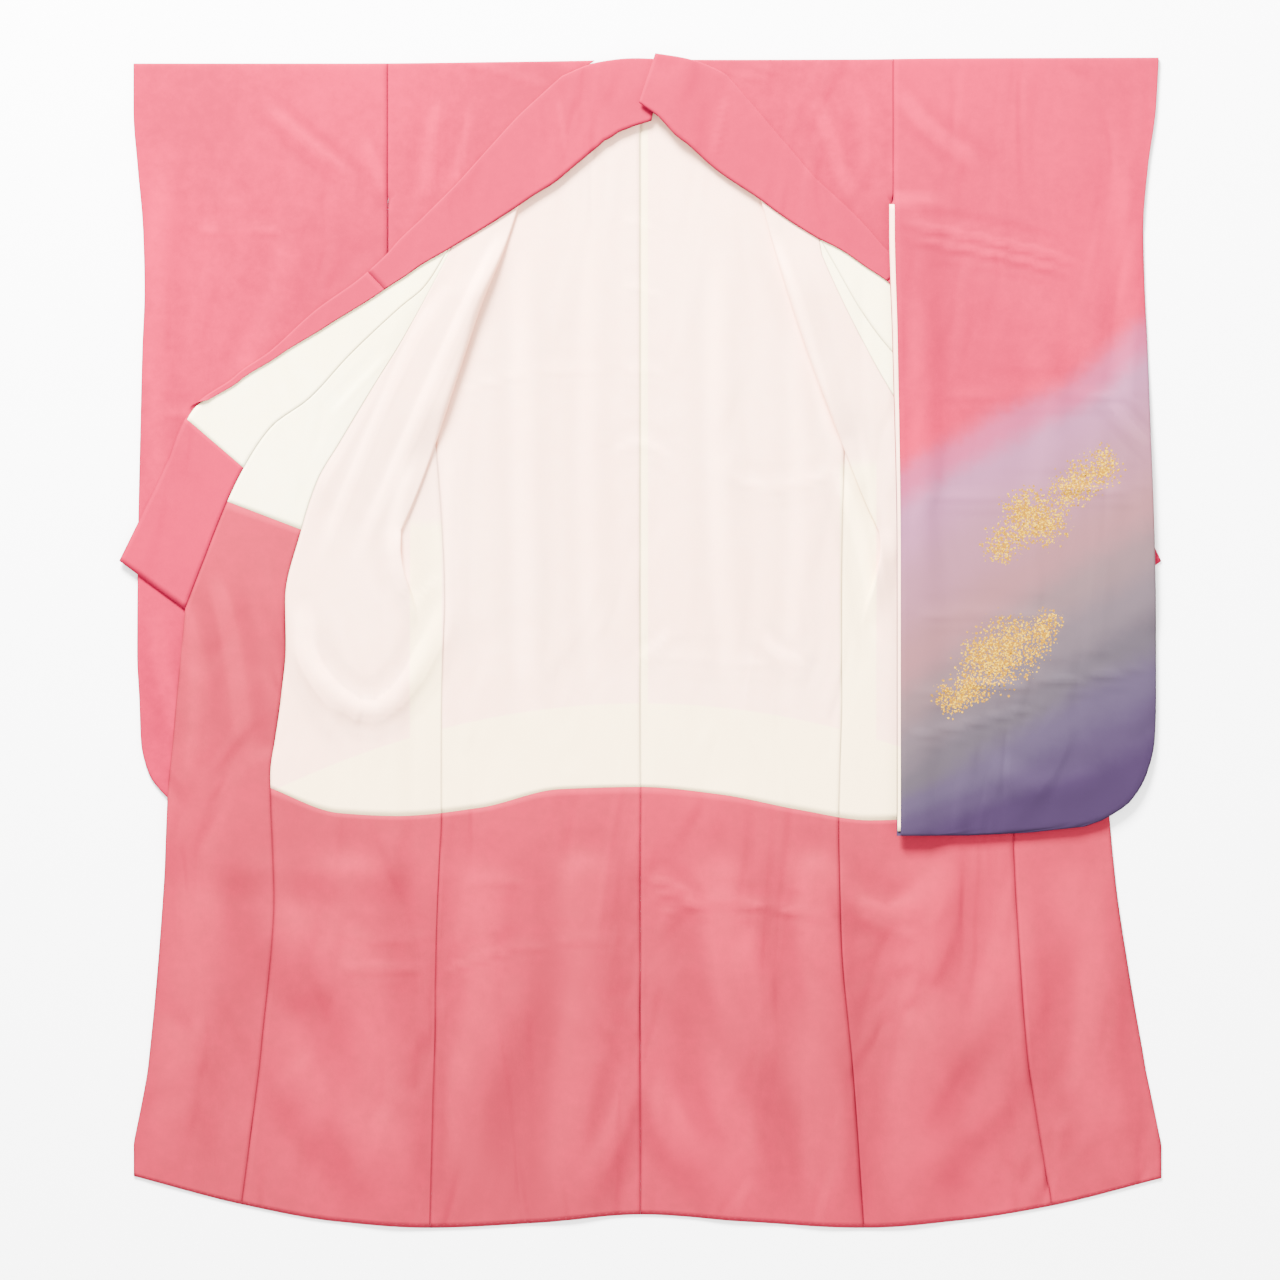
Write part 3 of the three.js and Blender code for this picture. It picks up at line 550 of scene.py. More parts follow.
# The lining: the doubled front opens into a deep swag, and the back lies in slight waves
LINING_FOLDS = (
    Crease((-262, 60), (-356, -92), (-468, 10), 26, 8.0),
    Crease((-283, 130), (-330, 20), (-352, -30), 14, -3.0),
    Crease((-183, 555), (-268, 372), (-385, 105), 15, 3.4),
    Crease((-271, 474), (-345, 322), (-436, 100), 13, 2.4),
    Crease((-330, 380), (-385, 285), (-440, 190), 9, 1.3),
    Crease((-300, 250), (-330, 150), (-310, 40), 16, 2.6),
    Crease((-455, 60), (-440, -40), (-400, -130), 24, 3.0),
    Crease((-252, 300), (-262, 120), (-255, -60), 12, 1.5),
    Crease((-160, 560), (-158, 200), (-152, -140), 26, 2.2),
    Crease((-60, 600), (-72, 250), (-58, -120), 20, 1.5),
    Crease((108, 560), (104, 240), (128, -120), 24, 2.0),
    Crease((205, 500), (214, 200), (196, -140), 20, 1.6),
    Crease((175, 560), (232, 380), (262, 250), 16, 2.2),
    Crease((262, 240), (300, 120), (322, -30), 14, 2.6),
    Crease((296, 300), (312, 180), (330, 60), 8, 1.2),
    Crease((-255, 335), (-150, 362), (-26, 368), 7, 0.9),
    Crease((120, 222), (190, 210), (262, 232), 10, 1.6),
    Crease((2, -20), (110, -25), (216, -34), 7, 1.0),
    Crease((-40, 252), (0, 268), (42, 248), 9, 1.6),
    Crease((-34, 470), (-6, 478), (30, 466), 7, 1.0),
    Crease((-30, 560), (-8, 566), (24, 556), 7, 1.0),
    Crease((-26, 362), (6, 370), (36, 358), 7, 1.1),
    Crease((-8, -30), (18, -8), (44, 16), 8, 1.4),
    Crease((164, 10), (196, -24), (224, -22), 12, 2.0),
    Crease((-330, 10), (-300, 60), (-262, 90), 8, 1.0),
    Crease((-575, 96), (-548, -26), (-534, -161), 18, 3.0),
    Crease((-612, 60), (-600, -60), (-610, -200), 14, 2.2),
)
# Collar and shoulders
SHOULDER_FOLDS = (
    Crease((-111, 733), (-106, 700), (-102, 655), 7, 1.3, 1.4),
    Crease((115, 738), (108, 700), (98, 652), 7, 1.2, 1.4),
    Crease((-268, 745), (-282, 660), (-290, 590), 15, 1.8),
    Crease((-228, 740), (-240, 660), (-262, 600), 10, 1.2),
    Crease((122, 757), (150, 764), (188, 775), 8, 1.2),
    Crease((238, 740), (262, 660), (286, 590), 16, 1.8),
    Crease((298, 745), (306, 690), (302, 620), 10, 1.2),
    Crease((-244, 782), (-180, 768), (-118, 748), 9, 1.2),
    Crease((-420, 300), (-380, 345), (-330, 395), 8, 0.9),
)
# Creases of the sleeves' upper cloths
LEFT_SLEEVE_CREASES = (
    Crease((350, 562), (462, 544), (593, 512), 10, 3.4, 1.5),
    Crease((362, 540), (470, 524), (575, 500), 8, 2.2, 1.5),
    Crease((392, 331), (566, 336), (680, 325), 7, 2.1, 1.6),
    Crease((350, 196), (566, 202), (690, 211), 6, 2.0, 1.6),
    Crease((352, -66), (520, -56), (688, -34), 7, 2.9, 1.6),
    Crease((352, -127), (430, -112), (560, -78), 9, 1.9, 1.4),
    Crease((632, 325), (658, 292), (688, 262), 8, 2.2, 1.4),
    Crease((352, 745), (392, 690), (470, 640), 18, 1.4),
    Crease((365, 480), (378, 300), (362, 60), 26, 1.8),
    Crease((640, 700), (654, 480), (648, 260), 26, 1.6),
    Crease((520, 420), (545, 300), (520, 160), 38, 1.2),
    Crease((460, -150), (540, -190), (630, -170), 30, 1.2),
    Crease((352, 30), (470, 40), (600, 22), 9, 1.3, 1.4),
)
RIGHT_SLEEVE_CREASES = (
    Crease((-505, 722), (-448, 672), (-389, 625), 10, 2.4, 1.4),
    Crease((-372, 680), (-358, 640), (-345, 600), 12, 1.6),
    Crease((-640, 690), (-655, 420), (-648, 150), 26, 1.8),
    Crease((-470, 560), (-500, 440), (-560, 330), 34, 1.5),
    Crease((-610, 560), (-540, 552), (-470, 560), 7, 1.5, 1.5),
    Crease((-655, 60), (-640, -60), (-610, -150), 20, 1.5),
    Crease((-668, 300), (-620, 306), (-570, 300), 7, 1.5, 1.5),
)


def row_y(v: float, x: Array) -> Array:
    """Height of a row of the body, which follows the shoulder, the lining's end and the hem nearby.

    Args:
        v: name of the row.
        x: places along X.

    Returns:
        The height at each place.
    """
    if v > TOP_BAND:
        return TOP_BAND + (SHOULDER.at(x) - TOP_BAND) * (v - TOP_BAND) / (SHOULDER_Y - TOP_BAND)
    if v < HEM_BAND:
        return HEM_BAND + (HEM.at(x) - HEM_BAND) * (v - HEM_BAND) / (HEM_Y - HEM_BAND)
    near = max(0.0, 1 - abs(v - LINING_END) / LINING_BAND)
    return v + near * (LINING_EDGE.at(x) - LINING_END)


def inside_by(outline: Sequence[tuple[float, float]], x: Array, y: Array) -> Array:
    """Distance to a closed outline, positive inside it and negative outside.

    Args:
        outline: its corners in order.
        x: places along X.
        y: places along Y.

    Returns:
        The signed distance at each place.
    """
    nearest = np.full(np.shape(x), np.inf)
    inside = np.zeros(np.shape(x), dtype=bool)
    for (ax, ay), (bx, by) in zip(outline, [*outline[1:], outline[0]]):
        length = (bx - ax) ** 2 + (by - ay) ** 2
        t = np.clip(((x - ax) * (bx - ax) + (y - ay) * (by - ay)) / length, 0, 1)
        nearest = np.minimum(nearest, np.hypot(x - ax - t * (bx - ax), y - ay - t * (by - ay)))
        if ay != by:
            crosses = ((ay > y) != (by > y)) & (x < ax + (y - ay) / (by - ay) * (bx - ax))
            inside ^= crosses
    return np.where(inside, nearest, -nearest)


SLEEVE_OUTLINE = (
    (-ARMHOLE_REACH, SLEEVE_TOP),
    *((-reach, y) for y, reach in SLEEVE_EDGE[Side.RIGHT].points),
    (-ARMHOLE_REACH, SLEEVE_FOOT),
)
BUNDLE_OUTLINE = (
    (300.0, 575.0),
    *((station.edge_reach, station.edge_y) for station in COLLAR_STATIONS[Side.LEFT][5:]),
    *((reach, y) for y, reach in FRONT_EDGE[Side.LEFT].points),
    (300.0, HEM_Y),
)


def lifted(outline: Sequence[tuple[float, float]], x: Array, y: Array, margin: float, ramp: float) -> Array:
    """Share of a full lift: 1 near and inside an outline, falling to 0 outside it.

    Args:
        outline: its corners in order.
        x: places along X.
        y: places along Y.
        margin: width outside the outline that still has the full lift.
        ramp: width over which it falls from there.

    Returns:
        The share at each place.
    """
    return smooth((inside_by(outline, x, y) + margin + ramp) / ramp)


def past_side(reach: Array) -> Array:
    """Share of the turned-under front's height that the top cloth still has.

    Args:
        reach: reach of each place.

    Returns:
        The share there.
    """
    return 1 - smooth((reach - PAST_SIDE) / PAST_SIDE_RAMP)


def top_ply(side: Side, x: Array, y: Array) -> Array:
    """Height at which the top cloths lie: on the turned-under front, the right sleeve or the floor.

    Args:
        side: which side of the garment.
        x: places along X.
        y: places along Y.

    Returns:
        The height at each place.
    """
    on_front = smooth((y - FOLD_FLAT) / (DOUBLED_END - FOLD_FLAT)) * past_side(np.abs(x))
    on_sleeve = lifted(SLEEVE_OUTLINE, x, y, SLEEVE_MARGIN, SLEEVE_RAMP) if side is Side.RIGHT else 0.0
    return UNDER_FRONT * np.maximum(on_front, on_sleeve)


def sleeve_floor(side: Side, x: Array, y: Array) -> Array:
    """Height at which a sleeve lies: the right one on the floor, the left one on its front and collar.

    Args:
        side: which side of the garment.
        x: places along X.
        y: places along Y.

    Returns:
        The height at each place.
    """
    if side is Side.RIGHT:
        return np.zeros(np.shape(x))
    below_armhole = smooth((UNDER_SLEEVE_TOP - y) / UNDER_SLEEVE_RAMP)
    bundle = SLEEVE_ON_BUNDLE * lifted(BUNDLE_OUTLINE, x, y, BUNDLE_MARGIN, BUNDLE_RAMP)
    return (UNDER_FRONT * past_side(x) + bundle) * below_armhole


# Grids of points that the cloths are made on


@dataclass
class Grid:
    """Points on the middle line of a pair of cloths, in rows from top to bottom.

    Args:
        points: places as rows x columns x 3, in millimetres.
        rows: name of each row.
        fold: how far each point stands above the cloth round it, in millimetres.
    """

    points: Array
    rows: Array
    fold: Array | None = None

    def normals(self) -> Array:
        """Unit vectors off the face that looks up where columns run outwards on the left side.

        Returns:
            The vector at each point.
        """
        down = np.gradient(self.points, axis=0)
        across = np.gradient(self.points, axis=1)
        normal = np.cross(down, across)
        length = np.linalg.norm(normal, axis=2, keepdims=True)
        return normal / np.maximum(length, 1e-9)

    def span(self) -> tuple[Array, Array]:
        """Distance along the cloth of every point: across from its first column, down from its first row.

        Returns:
            The distances across and the distances down.
        """
        steps = np.linalg.norm(np.diff(self.points, axis=1), axis=2)
        across = np.concatenate([np.zeros((len(steps), 1)), np.cumsum(steps, axis=1)], axis=1)
        down = np.broadcast_to((self.rows[0] - self.rows)[:, None], across.shape)
        return across, down

    def between(self, high: float, low: float) -> "Grid":
        """Part of the grid.

        Args:
            high: first row.
            low: last row.

        Returns:
            The rows between the two.
        """
        keep = (self.rows <= high + 1e-6) & (self.rows >= low - 1e-6)
        return Grid(self.points[keep], self.rows[keep], None if self.fold is None else self.fold[keep])


def rows_between(high: float, low: float, step: float, marks: Iterable[float] = ()) -> Array:
    """Evenly spaced rows.

    Args:
        high: first row.
        low: last row.
        step: distance between them.
        marks: rows that are hit where they lie between the two.

    Returns:
        The rows, from high to low.
    """
    stops = sorted({high, low, *(mark for mark in marks if low < mark < high)}, reverse=True)
    parts = [np.linspace(a, b, max(1, round((a - b) / step)) + 1)[:-1] for a, b in zip(stops, stops[1:])]
    return np.concatenate([*parts, [low]])


def closed_at_shoulder(rows: Array) -> Array:
    """How far front and back stand apart.

    Args:
        rows: names of the rows.

    Returns:
        Share for each row, from 0 at the shoulder fold to 1 on the flat.
    """
    depth = np.clip((SHOULDER_Y - rows) / SHOULDER_RIM, 0, 1)
    return np.sqrt(1 - (1 - depth) ** 2)


def folded_over_shoulder(grid: Grid) -> Grid:
    """A panel with its top rows bent in towards the shoulder fold.

    Args:
        grid: the panel, flat at its top.

    Returns:
        The same panel, bent.
    """
    points = grid.points.copy()
    share = closed_at_shoulder(grid.rows)[:, None]
    points[..., 1] -= (0.5 * SHELL - Layer.OUTER.value) * (1 - share)
    points[..., 2] = 0.5 * STACK + (points[..., 2] - 0.5 * STACK) * share
    return Grid(points, grid.rows)


@dataclass(frozen=True)
class FrontSection:
    """Cuts across one front: under ply, turn at the side, upper ply, turn at the fold, top ply.

    Args:
        side: which side of the garment.
        under: cells across the under ply.
        turn: cells round the side's turn.
        upper: cells across the upper ply.
        fold: cells round the fold.
        top: cells across the top ply.
    """

    side: Side
    under: int = 8
    turn: int = 5
    upper: int = 26
    fold: int = 8
    top: int = 28

    def seam(self, v: float) -> float:
        """Reach of the top ply's outer edge: the collar's seam above the overlap panel, then the overlap's.

        Args:
            v: name of the row.

        Returns:
            The reach.
        """
        if v > OVERLAP_TOP:
            overlap = OVERLAP_SEAM[self.side].at(OVERLAP_TOP)
            step = float(Band(self.side).seam(OVERLAP_TOP) - overlap)
            left = max(0.0, (OVERLAP_TIP - v) / (OVERLAP_TIP - OVERLAP_TOP))
            return float(Band(self.side).seam(v)) - step * left
        return float(OVERLAP_SEAM[self.side].at(v))

    def grid(self, rows: Array) -> Grid:
        """Points of the whole front.

        Args:
            rows: rows from the shoulder to the hem.

        Returns:
            The grid, in place in the row frame.
        """
        exact = [float(v) for v in rows if self._exact(float(v))]
        ends = (SHOULDER_Y, FOLD_START, FOLD_TURNED, ARMHOLE_END, SIDE_TURNED)
        known = {v: self._cut(v) for v in {*exact, *ends, *SIDE_ROWS}}
        places = np.array(sorted(known))
        made = []
        for v in rows:
            k = int(np.clip(np.searchsorted(places, v), 1, len(places) - 1))
            low, high = places[k - 1], places[k]
            t = (v - low) / (high - low)
            made.append(self._placed(float(v), (1 - t) * known[low] + t * known[high]))
        return folded_over_shoulder(Grid(np.array(made), np.array(rows)))

    @staticmethod
    def _exact(v: float) -> bool:
        """Whether a row has a cut of its own, and isn't blended from the ones beside it.

        Args:
            v: name of the row.

        Returns:
            True for a row with its own cut.
        """
        return FOLD_TURNED >= v >= ARMHOLE_END or v <= SIDE_TURNED

    def _placed(self, v: float, cut: Array) -> Array:
        """A cut as points in place.

        Args:
            v: name of the row.
            cut: reach and height of each point.

        Returns:
            The points.
        """
        x = self.side.value * cut[:, 0]
        return np.column_stack([x, row_y(v, x), cut[:, 1]])

    def _cut(self, v: float) -> Array:
        """One row of the front.

        Args:
            v: name of the row.

        Returns:
            Reach and height of every point.
        """
        level = MIDDLE + 2 * PLY
        seam = NECK_REACH if v > FOLD_START else self.seam(v)
        turn_reach = TURNED_SIDE_REACH - SMALLEST_TURN - MIDDLE
        if v < SIDE_TURNED:
            return self._folded(v, level, seam, turn_reach)
        side = self._side_part(v, level, turn_reach)
        start = float(FRONT_FOLD[self.side].at(v)) + SMALLEST_TURN + MIDDLE
        if v > FOLD_START:
            start = seam + EDGE_STRIP
        upper = np.linspace(side[-1, 0], start, self.upper + 1)[1:]
        run = np.column_stack([upper, np.full(self.upper, level)])
        if v >= FOLD_START:
            flat = np.linspace(start, seam, self.fold + self.top + 1)[1:]
            return np.vstack([side, run, np.column_stack([flat, np.full(len(flat), level)])])
        turn = min(math.pi, math.pi * (FOLD_START - v) / (FOLD_START - FOLD_TURNED))
        return np.vstack([side, run, self._fold_part(v, start, level, turn, 0.0, seam)])

    def _side_part(self, v: float, level: float, turn_reach: float) -> Array:
        """The armhole's edge, and below it the side as it turns under.

        Args:
            v: name of the row.
            level: height of the upper ply.
            turn_reach: reach at which the side starts to turn.

        Returns:
            Reach and height of the points.
        """
        if v > ARMHOLE_END - 1:
            reach = np.linspace(TURNED_SIDE_REACH, TURNED_SIDE_REACH - EDGE_STRIP, self.under + self.turn + 1)
            return np.column_stack([reach, np.full(len(reach), level)])
        turn = math.pi * (ARMHOLE_END - v) / (ARMHOLE_END - SIDE_TURNED)
        radius = max(SMALLEST_TURN, SHORTEST_ARC / turn)
        tail = turn_reach - float(SIDE_SEAM[self.side].at(v)) if v <= SIDE_TURNED else SMALLEST_TURN
        first = math.pi / 2 - turn
        centre = turn_reach + SMALLEST_TURN - radius
        angles = np.linspace(first, math.pi / 2, self.turn + 1)
        arc = np.column_stack([centre + radius * np.cos(angles), level - radius + radius * np.sin(angles)])
        back = np.linspace(tail, 0, self.under + 1)[:-1]
        run = np.column_stack([arc[0, 0] + back * math.sin(first), arc[0, 1] - back * math.cos(first)])
        return np.vstack([run, arc])

    def _folded(self, v: float, level: float, seam: float, turn_reach: float) -> Array:
        """A row of the doubled front, or of the fold where it opens out.

        Args:
            v: name of the row.
            level: height of the upper ply.
            seam: reach of the top ply's outer edge.
            turn_reach: reach at which the side starts to turn.

        Returns:
            Reach and height of every point.
        """
        opening = v < DOUBLED_END
        turn = math.radians(float(FOLD_TURN.at(v))) if opening else math.pi
        radius = max(SMALLEST_TURN, SHORTEST_ARC / turn)
        side_reach = float(SIDE_SEAM[self.side].at(v))
        hinge = max(float(FOLD_REACH.at(v)), side_reach + HINGE_ROOM) if opening else turn_reach
        under = np.linspace(side_reach, hinge, self.under + 1)
        angles = np.linspace(0, turn, self.turn + 1)[1:]
        arc = np.column_stack([hinge + radius * np.sin(angles), MIDDLE + radius * (1 - np.cos(angles))])
        first = np.vstack([np.column_stack([under, np.full(len(under), MIDDLE)]), arc])
        last = first[-1]
        if not opening:
            swell = smooth((SIDE_TURNED - v) / CREST_TOP_RAMP) * smooth((v - CREST_END) / CREST_RAMP)
            crest = CREST * float(swell)
            start = float(FRONT_FOLD[self.side].at(v)) + SMALLEST_TURN + crest + MIDDLE
            upper = np.linspace(last[0], start, self.upper + 1)[1:]
            run = np.column_stack([upper, np.full(self.upper, level)])
            return np.vstack([first, run, self._fold_part(v, start, level, math.pi, crest, seam)])
        along = np.linspace(0, float(FOLD_BETWEEN.at(v)), self.upper + 1)[1:]
        run = np.column_stack([last[0] + along * math.cos(turn), last[1] + along * math.sin(turn)])
        angles = np.linspace(turn, 0, self.fold + 1)[1:]
        foot = run[-1]
        back = np.column_stack([
            foot[0] + radius * (math.sin(turn) - np.sin(angles)),
            foot[1] + radius * (np.cos(angles) - math.cos(turn)),
        ])
        return np.vstack([first, run, back, self._top_run(v, back[-1], seam)])

    def _fold_part(
        self, v: float, start: float, level: float, turn: float, crest: float, seam: float
    ) -> Array:
        """The turn at the fold and the top ply above it.

        Args:
            v: name of the row.
            start: reach at which the fold starts.
            level: height of the upper ply.
            turn: how far the cloth turns, pi for all the way.
            crest: how much the fold's radius swells.
            seam: reach of the top ply's outer edge.

        Returns:
            Reach and height of the points.
        """
        radius = max(SMALLEST_TURN + crest, SHORTEST_ARC / turn)
        angles = np.linspace(0, turn, self.fold + 1)[1:]
        arc = np.column_stack([start - radius * np.sin(angles), level + radius * (1 - np.cos(angles))])
        if turn < math.pi:
            along = np.linspace(0, FOLD_TAIL, self.top + 1)[1:]
            last = arc[-1]
            ahead = np.column_stack([last[0] - along * math.cos(turn), last[1] + along * math.sin(turn)])
            return np.vstack([arc, ahead])
        return np.vstack([arc, self._top_run(v, arc[-1], seam)])

    def _top_run(self, v: float, last: Array, seam: float) -> Array:
        """The top ply from the turn to its seam, coming down from the roll onto what lies below.

        Args:
            v: name of the row.
            last: reach and height of the turn's last point.
            seam: reach of the ply's outer edge.

        Returns:
            Reach and height of the points.
        """
        spread = np.linspace(0, 1, self.top + 1)[1:] ** TOP_SPREAD
        reach = last[0] + (seam - last[0]) * spread

        def height(at: Array) -> Array:
            """Height of the ply where it lies down.

            Args:
                at: reach of each place.

            Returns:
                The height there.
            """
            x = self.side.value * at
            return top_ply(self.side, x, row_y(v, x)) + MIDDLE

        fall = SHORT_FALL if v < CREST_END else LONG_FALL
        above = last[1] - float(height(np.array([last[0]]))[0])
        left = 1 - smooth((reach - last[0]) / fall)
        return np.column_stack([reach, height(reach) + above * left])


def overlap_edge_y(v: Array) -> Array:
    """Height of an overlap row at its outer edge: rows rise there round the end of the cream lining.

    Args:
        v: name of the row.

    Returns:
        The height.
    """
    return v + OVERLAP_RISE * np.maximum(0, 1 - np.abs(v - OVERLAP_LINING_END) / OVERLAP_RISE_SPAN)


@dataclass(frozen=True)
class OverlapSection:
    """Cuts across one overlap panel, from its seam to the front edge.

    Args:
        side: which side of the garment.
        cells: cells across the panel.
    """

    side: Side
    cells: int = 24

    def grid(self, rows: Array) -> Grid:
        """Points of the whole overlap panel.

        Args:
            rows: rows from its tip to the hem.

        Returns:
            The grid, in place in the row frame.
        """
        band = Band(self.side)
        front = FrontSection(self.side)
        made = []
        for v in rows:
            inner = front.seam(float(v))
            edge_y = float(overlap_edge_y(v))
            above = v >= COLLAR_END
            outer = float(band.seam(edge_y)) if above else float(FRONT_EDGE[self.side].at(v))
            t = np.linspace(0, 1, self.cells + 1)
            x = self.side.value * (inner + (outer - inner) * t)
            level = row_y(float(v), x)
            y = level + (edge_y - level) * (t if above else 0)
            made.append(np.column_stack([x, y, top_ply(self.side, x, y) + MIDDLE]))
        return Grid(np.array(made), np.array(rows))


@dataclass(frozen=True)
class BackSection:
    """Cuts across one half of the back, from the centre back seam to the side seam.

    Args:
        side: which side of the garment.
        cells: cells across the half.
    """

    side: Side
    cells: int = 44

    def grid(self, rows: Array) -> Grid:
        """Points of the half back.

        Args:
            rows: rows from the shoulder to the hem.

        Returns:
            The grid, in place in the row frame.
        """
        made = []
        for v in rows:
            t = np.linspace(0, 1, self.cells + 1)
            x = self.side.value * t * float(SIDE_SEAM[self.side].at(v))
            share = max(0.0, (v - TOP_BAND) / (SHOULDER_Y - TOP_BAND))
            scoop = NECK_DROP * (1 - smooth((np.abs(x) - NECK_FLAT) / NECK_CURVE)) * share
            made.append(np.column_stack([x, row_y(float(v), x) - scoop, np.full(len(x), MIDDLE)]))
        return folded_over_shoulder(Grid(np.array(made), np.array(rows)))


@dataclass(frozen=True)
class CollarSection:
    """Cuts across the collar band: from its seam out to the fold and back over itself.

    Args:
        side: which side of the garment.
        flat: cells from the seam to the fold.
        turn: cells round the fold.
        back: cells over the turned part.
    """

    side: Side
    flat: int = 12
    turn: int = 8
    back: int = 16

    @property
    def columns(self) -> int:
        """Number of points in a cut.

        Returns:
            The number.
        """
        return self.flat + self.turn + self.back + 1

    def _nape(self, x: Array) -> Array:
        """Lift of the left half where it lies on the right one.

        Args:
            x: places along X.

        Returns:
            The lift at each place.
        """
        if self.side is Side.RIGHT:
            return np.zeros(np.shape(x))
        return NAPE_LIFT * (1 - smooth((x - NAPE_REACH) / NAPE_FADE))

    def _placed(self, station: Station, q: Array, z: Array) -> Array:
        """Points of a cut in place.

        Args:
            station: the cut.
            q: distance of each point from the seam.
            z: its height above what the band lies on.

        Returns:
            The points.
        """
        run = (station.edge_reach - station.seam_reach, station.edge_y - station.seam_y)
        x = self.side.value * (station.seam_reach + run[0] / station.width * q)
        y = station.seam_y + run[1] / station.width * q
        return np.column_stack([x, y, z + top_ply(self.side, x, y) + self._nape(x)])

    def cut(self, station: Station, opening: float = 1.0) -> Array:
        """Points of one cut.

        Args:
            station: where it lies and how wide it is.
            opening: 1 where the band is folded over, 0 where it lies flat.

        Returns:
            The points, from the seam to the free edge.
        """
        if opening <= 0:
            q = np.linspace(0, station.width, self.columns)
            return self._placed(station, q, np.full(self.columns, COLLAR_BASE))
        turn = math.pi * opening
        radius = max(COLLAR_TURN, SHORTEST_ARC / turn)
        centre = station.width - COLLAR_TURN - COLLAR_HALF
        flat = np.linspace(0, centre, self.flat + 1)
        angles = np.linspace(0, turn, self.turn + 1)[1:]
        rise = COLLAR_BASE + radius * (1 - np.cos(angles))
        arc = np.column_stack([centre + radius * np.sin(angles), rise])
        folded = max(SMALLEST_FLAP, station.turned) - OPEN_FLAP
        length = OPEN_FLAP + folded * float(smooth(opening * 2 - 1))
        run = np.linspace(0, length, self.back + 1)[1:]
        back = np.column_stack([arc[-1, 0] + run * math.cos(turn), arc[-1, 1] + run * math.sin(turn)])
        q = np.concatenate([flat, arc[:, 0], back[:, 0]])
        z = np.concatenate([np.full(len(flat), COLLAR_BASE), arc[:, 1], back[:, 1]])
        return self._placed(station, q, z)

    def over_collar(self) -> Grid:
        """Points of this half of the over-collar, from the nape to the end of the band.

        Returns:
            The grid of its middle line.
        """
        band = Band(self.side)
        rows = rows_between(FOLD_START, OVER_COLLAR_END, COLLAR_STEP)
        stations = [*band.nape(NAPE_CUTS, FOLD_START), *(band.station(v) for v in rows)]
        return self._grid(stations, [1.0] * len(stations))

    def collar(self) -> Grid:
        """Points of the band below the over-collar, down to its open end.

        Returns:
            The grid of its middle line.
        """
        band = Band(self.side)
        rows = rows_between(OVER_COLLAR_END, COLLAR_END, COLLAR_STEP, (COLLAR_TURNED, COLLAR_FLAT))
        openings = [float(smooth((v - COLLAR_FLAT) / (COLLAR_TURNED - COLLAR_FLAT))) for v in rows]
        return self._grid([band.station(self._edge_y(float(v))) for v in rows], openings)

    def lining(self, high: float, low: float, end: float) -> Grid:
        """Points of the lining between two rows.

        Args:
            high: first row.
            low: last row.
            end: how far short of the band's edge it stops.

        Returns:
            The grid, one ply above the band.
        """
        band = Band(self.side)
        rows = rows_between(high, low, LINING_STEP)
        made = []
        for v in rows:
            station = band.station(self._edge_y(float(v)))
            q = np.linspace(0, 1, LINING_CELLS + 1) * (station.width - end)
            made.append(self._placed(station, q, np.full(len(q), COLLAR_BASE + PLY + LINING_ROOM)))
        return Grid(np.array(made), rows)

    @staticmethod
    def _edge_y(v: float) -> float:
        """Height of a row at the band's seam, where rows of the open end follow the overlap panel's.

        Args:
            v: name of the row.

        Returns:
            The height.
        """
        share = float(smooth((COLLAR_TURNED - v) / COLLAR_EDGE_RAMP + 0.5))
        return v + share * (float(overlap_edge_y(np.array(v))) - v)

    def _grid(self, stations: Sequence[Station], openings: Sequence[float]) -> Grid:
        """A grid from cuts, with rows named by their distance along the seam.

        Args:
            stations: the cuts in order.
            openings: how far each one is folded.

        Returns:
            The grid.
        """
        points = np.array([self.cut(station, opening) for station, opening in zip(stations, openings)])
        steps = np.linalg.norm(np.diff(points[:, 0], axis=0), axis=1)
        return Grid(points, -np.concatenate([[0.0], np.cumsum(steps)]))


# From points to pieces


@dataclass
class Cloth:
    """The middle surface of one cloth, ready to be given a thickness.

    Args:
        points: places, in millimetres.
        normals: unit vectors off its right side.
        quads: corners of its cells, counterclockwise seen from the right side.
        uv: place on the cloth in metres, across and down.
        edge: distance to the nearest long edge of the panel, in millimetres.
        fold: how far each point stands above the cloth round it, in millimetres, which the finishes turn into
            painted shade in hollows and painted light on crests.
    """

    points: Array
    normals: Array
    quads: Array
    uv: Array
    edge: Array
    fold: Array

    def mesh(self, name: str, thickness: float = SHELL) -> bpy.types.Mesh:
        """A closed shell round the middle surface.

        Args:
            name: name of the mesh.
            thickness: of the shell, in millimetres.

        Returns:
            The mesh, in metres, with its faces outward.
        """
        count = len(self.points)
        half = 0.5 * thickness * self.normals
        places = np.vstack([self.points + half, self.points - half]) * MM
        edges = np.concatenate([self.quads[:, [k, (k + 1) % 4]] for k in range(4)])
        keys = np.sort(edges, axis=1) @ np.array([count, 1])
        _, first, uses = np.unique(keys, return_index=True, return_counts=True)
        rim = edges[first[uses == 1]]
        walls = np.column_stack([rim[:, 1], rim[:, 0], rim[:, 0] + count, rim[:, 1] + count])
        faces = np.vstack([self.quads, self.quads[:, ::-1] + count, walls])
        mesh = bpy.data.meshes.new(name)
        mesh.vertices.add(len(places))
        mesh.vertices.foreach_set("co", places.ravel())
        mesh.loops.add(faces.size)
        mesh.loops.foreach_set("vertex_index", faces.ravel().astype(np.int32))
        mesh.polygons.add(len(faces))
        mesh.polygons.foreach_set("loop_start", np.arange(0, faces.size, 4, dtype=np.int32))
        mesh.polygons.foreach_set("use_smooth", np.arange(len(faces)) < 2 * len(self.quads))
        mesh.update(calc_edges=True)
        layer = mesh.uv_layers.new(name="cloth")
        layer.data.foreach_set("uv", np.vstack([self.uv, self.uv])[faces.ravel()].ravel())
        for label, values in (("edge", self.edge), ("fold", self.fold)):
            attribute = mesh.attributes.new(label, "FLOAT", "POINT")
            attribute.data.foreach_set("value", np.concatenate([values, values]).astype(np.float32))
        mesh.validate()
        return mesh


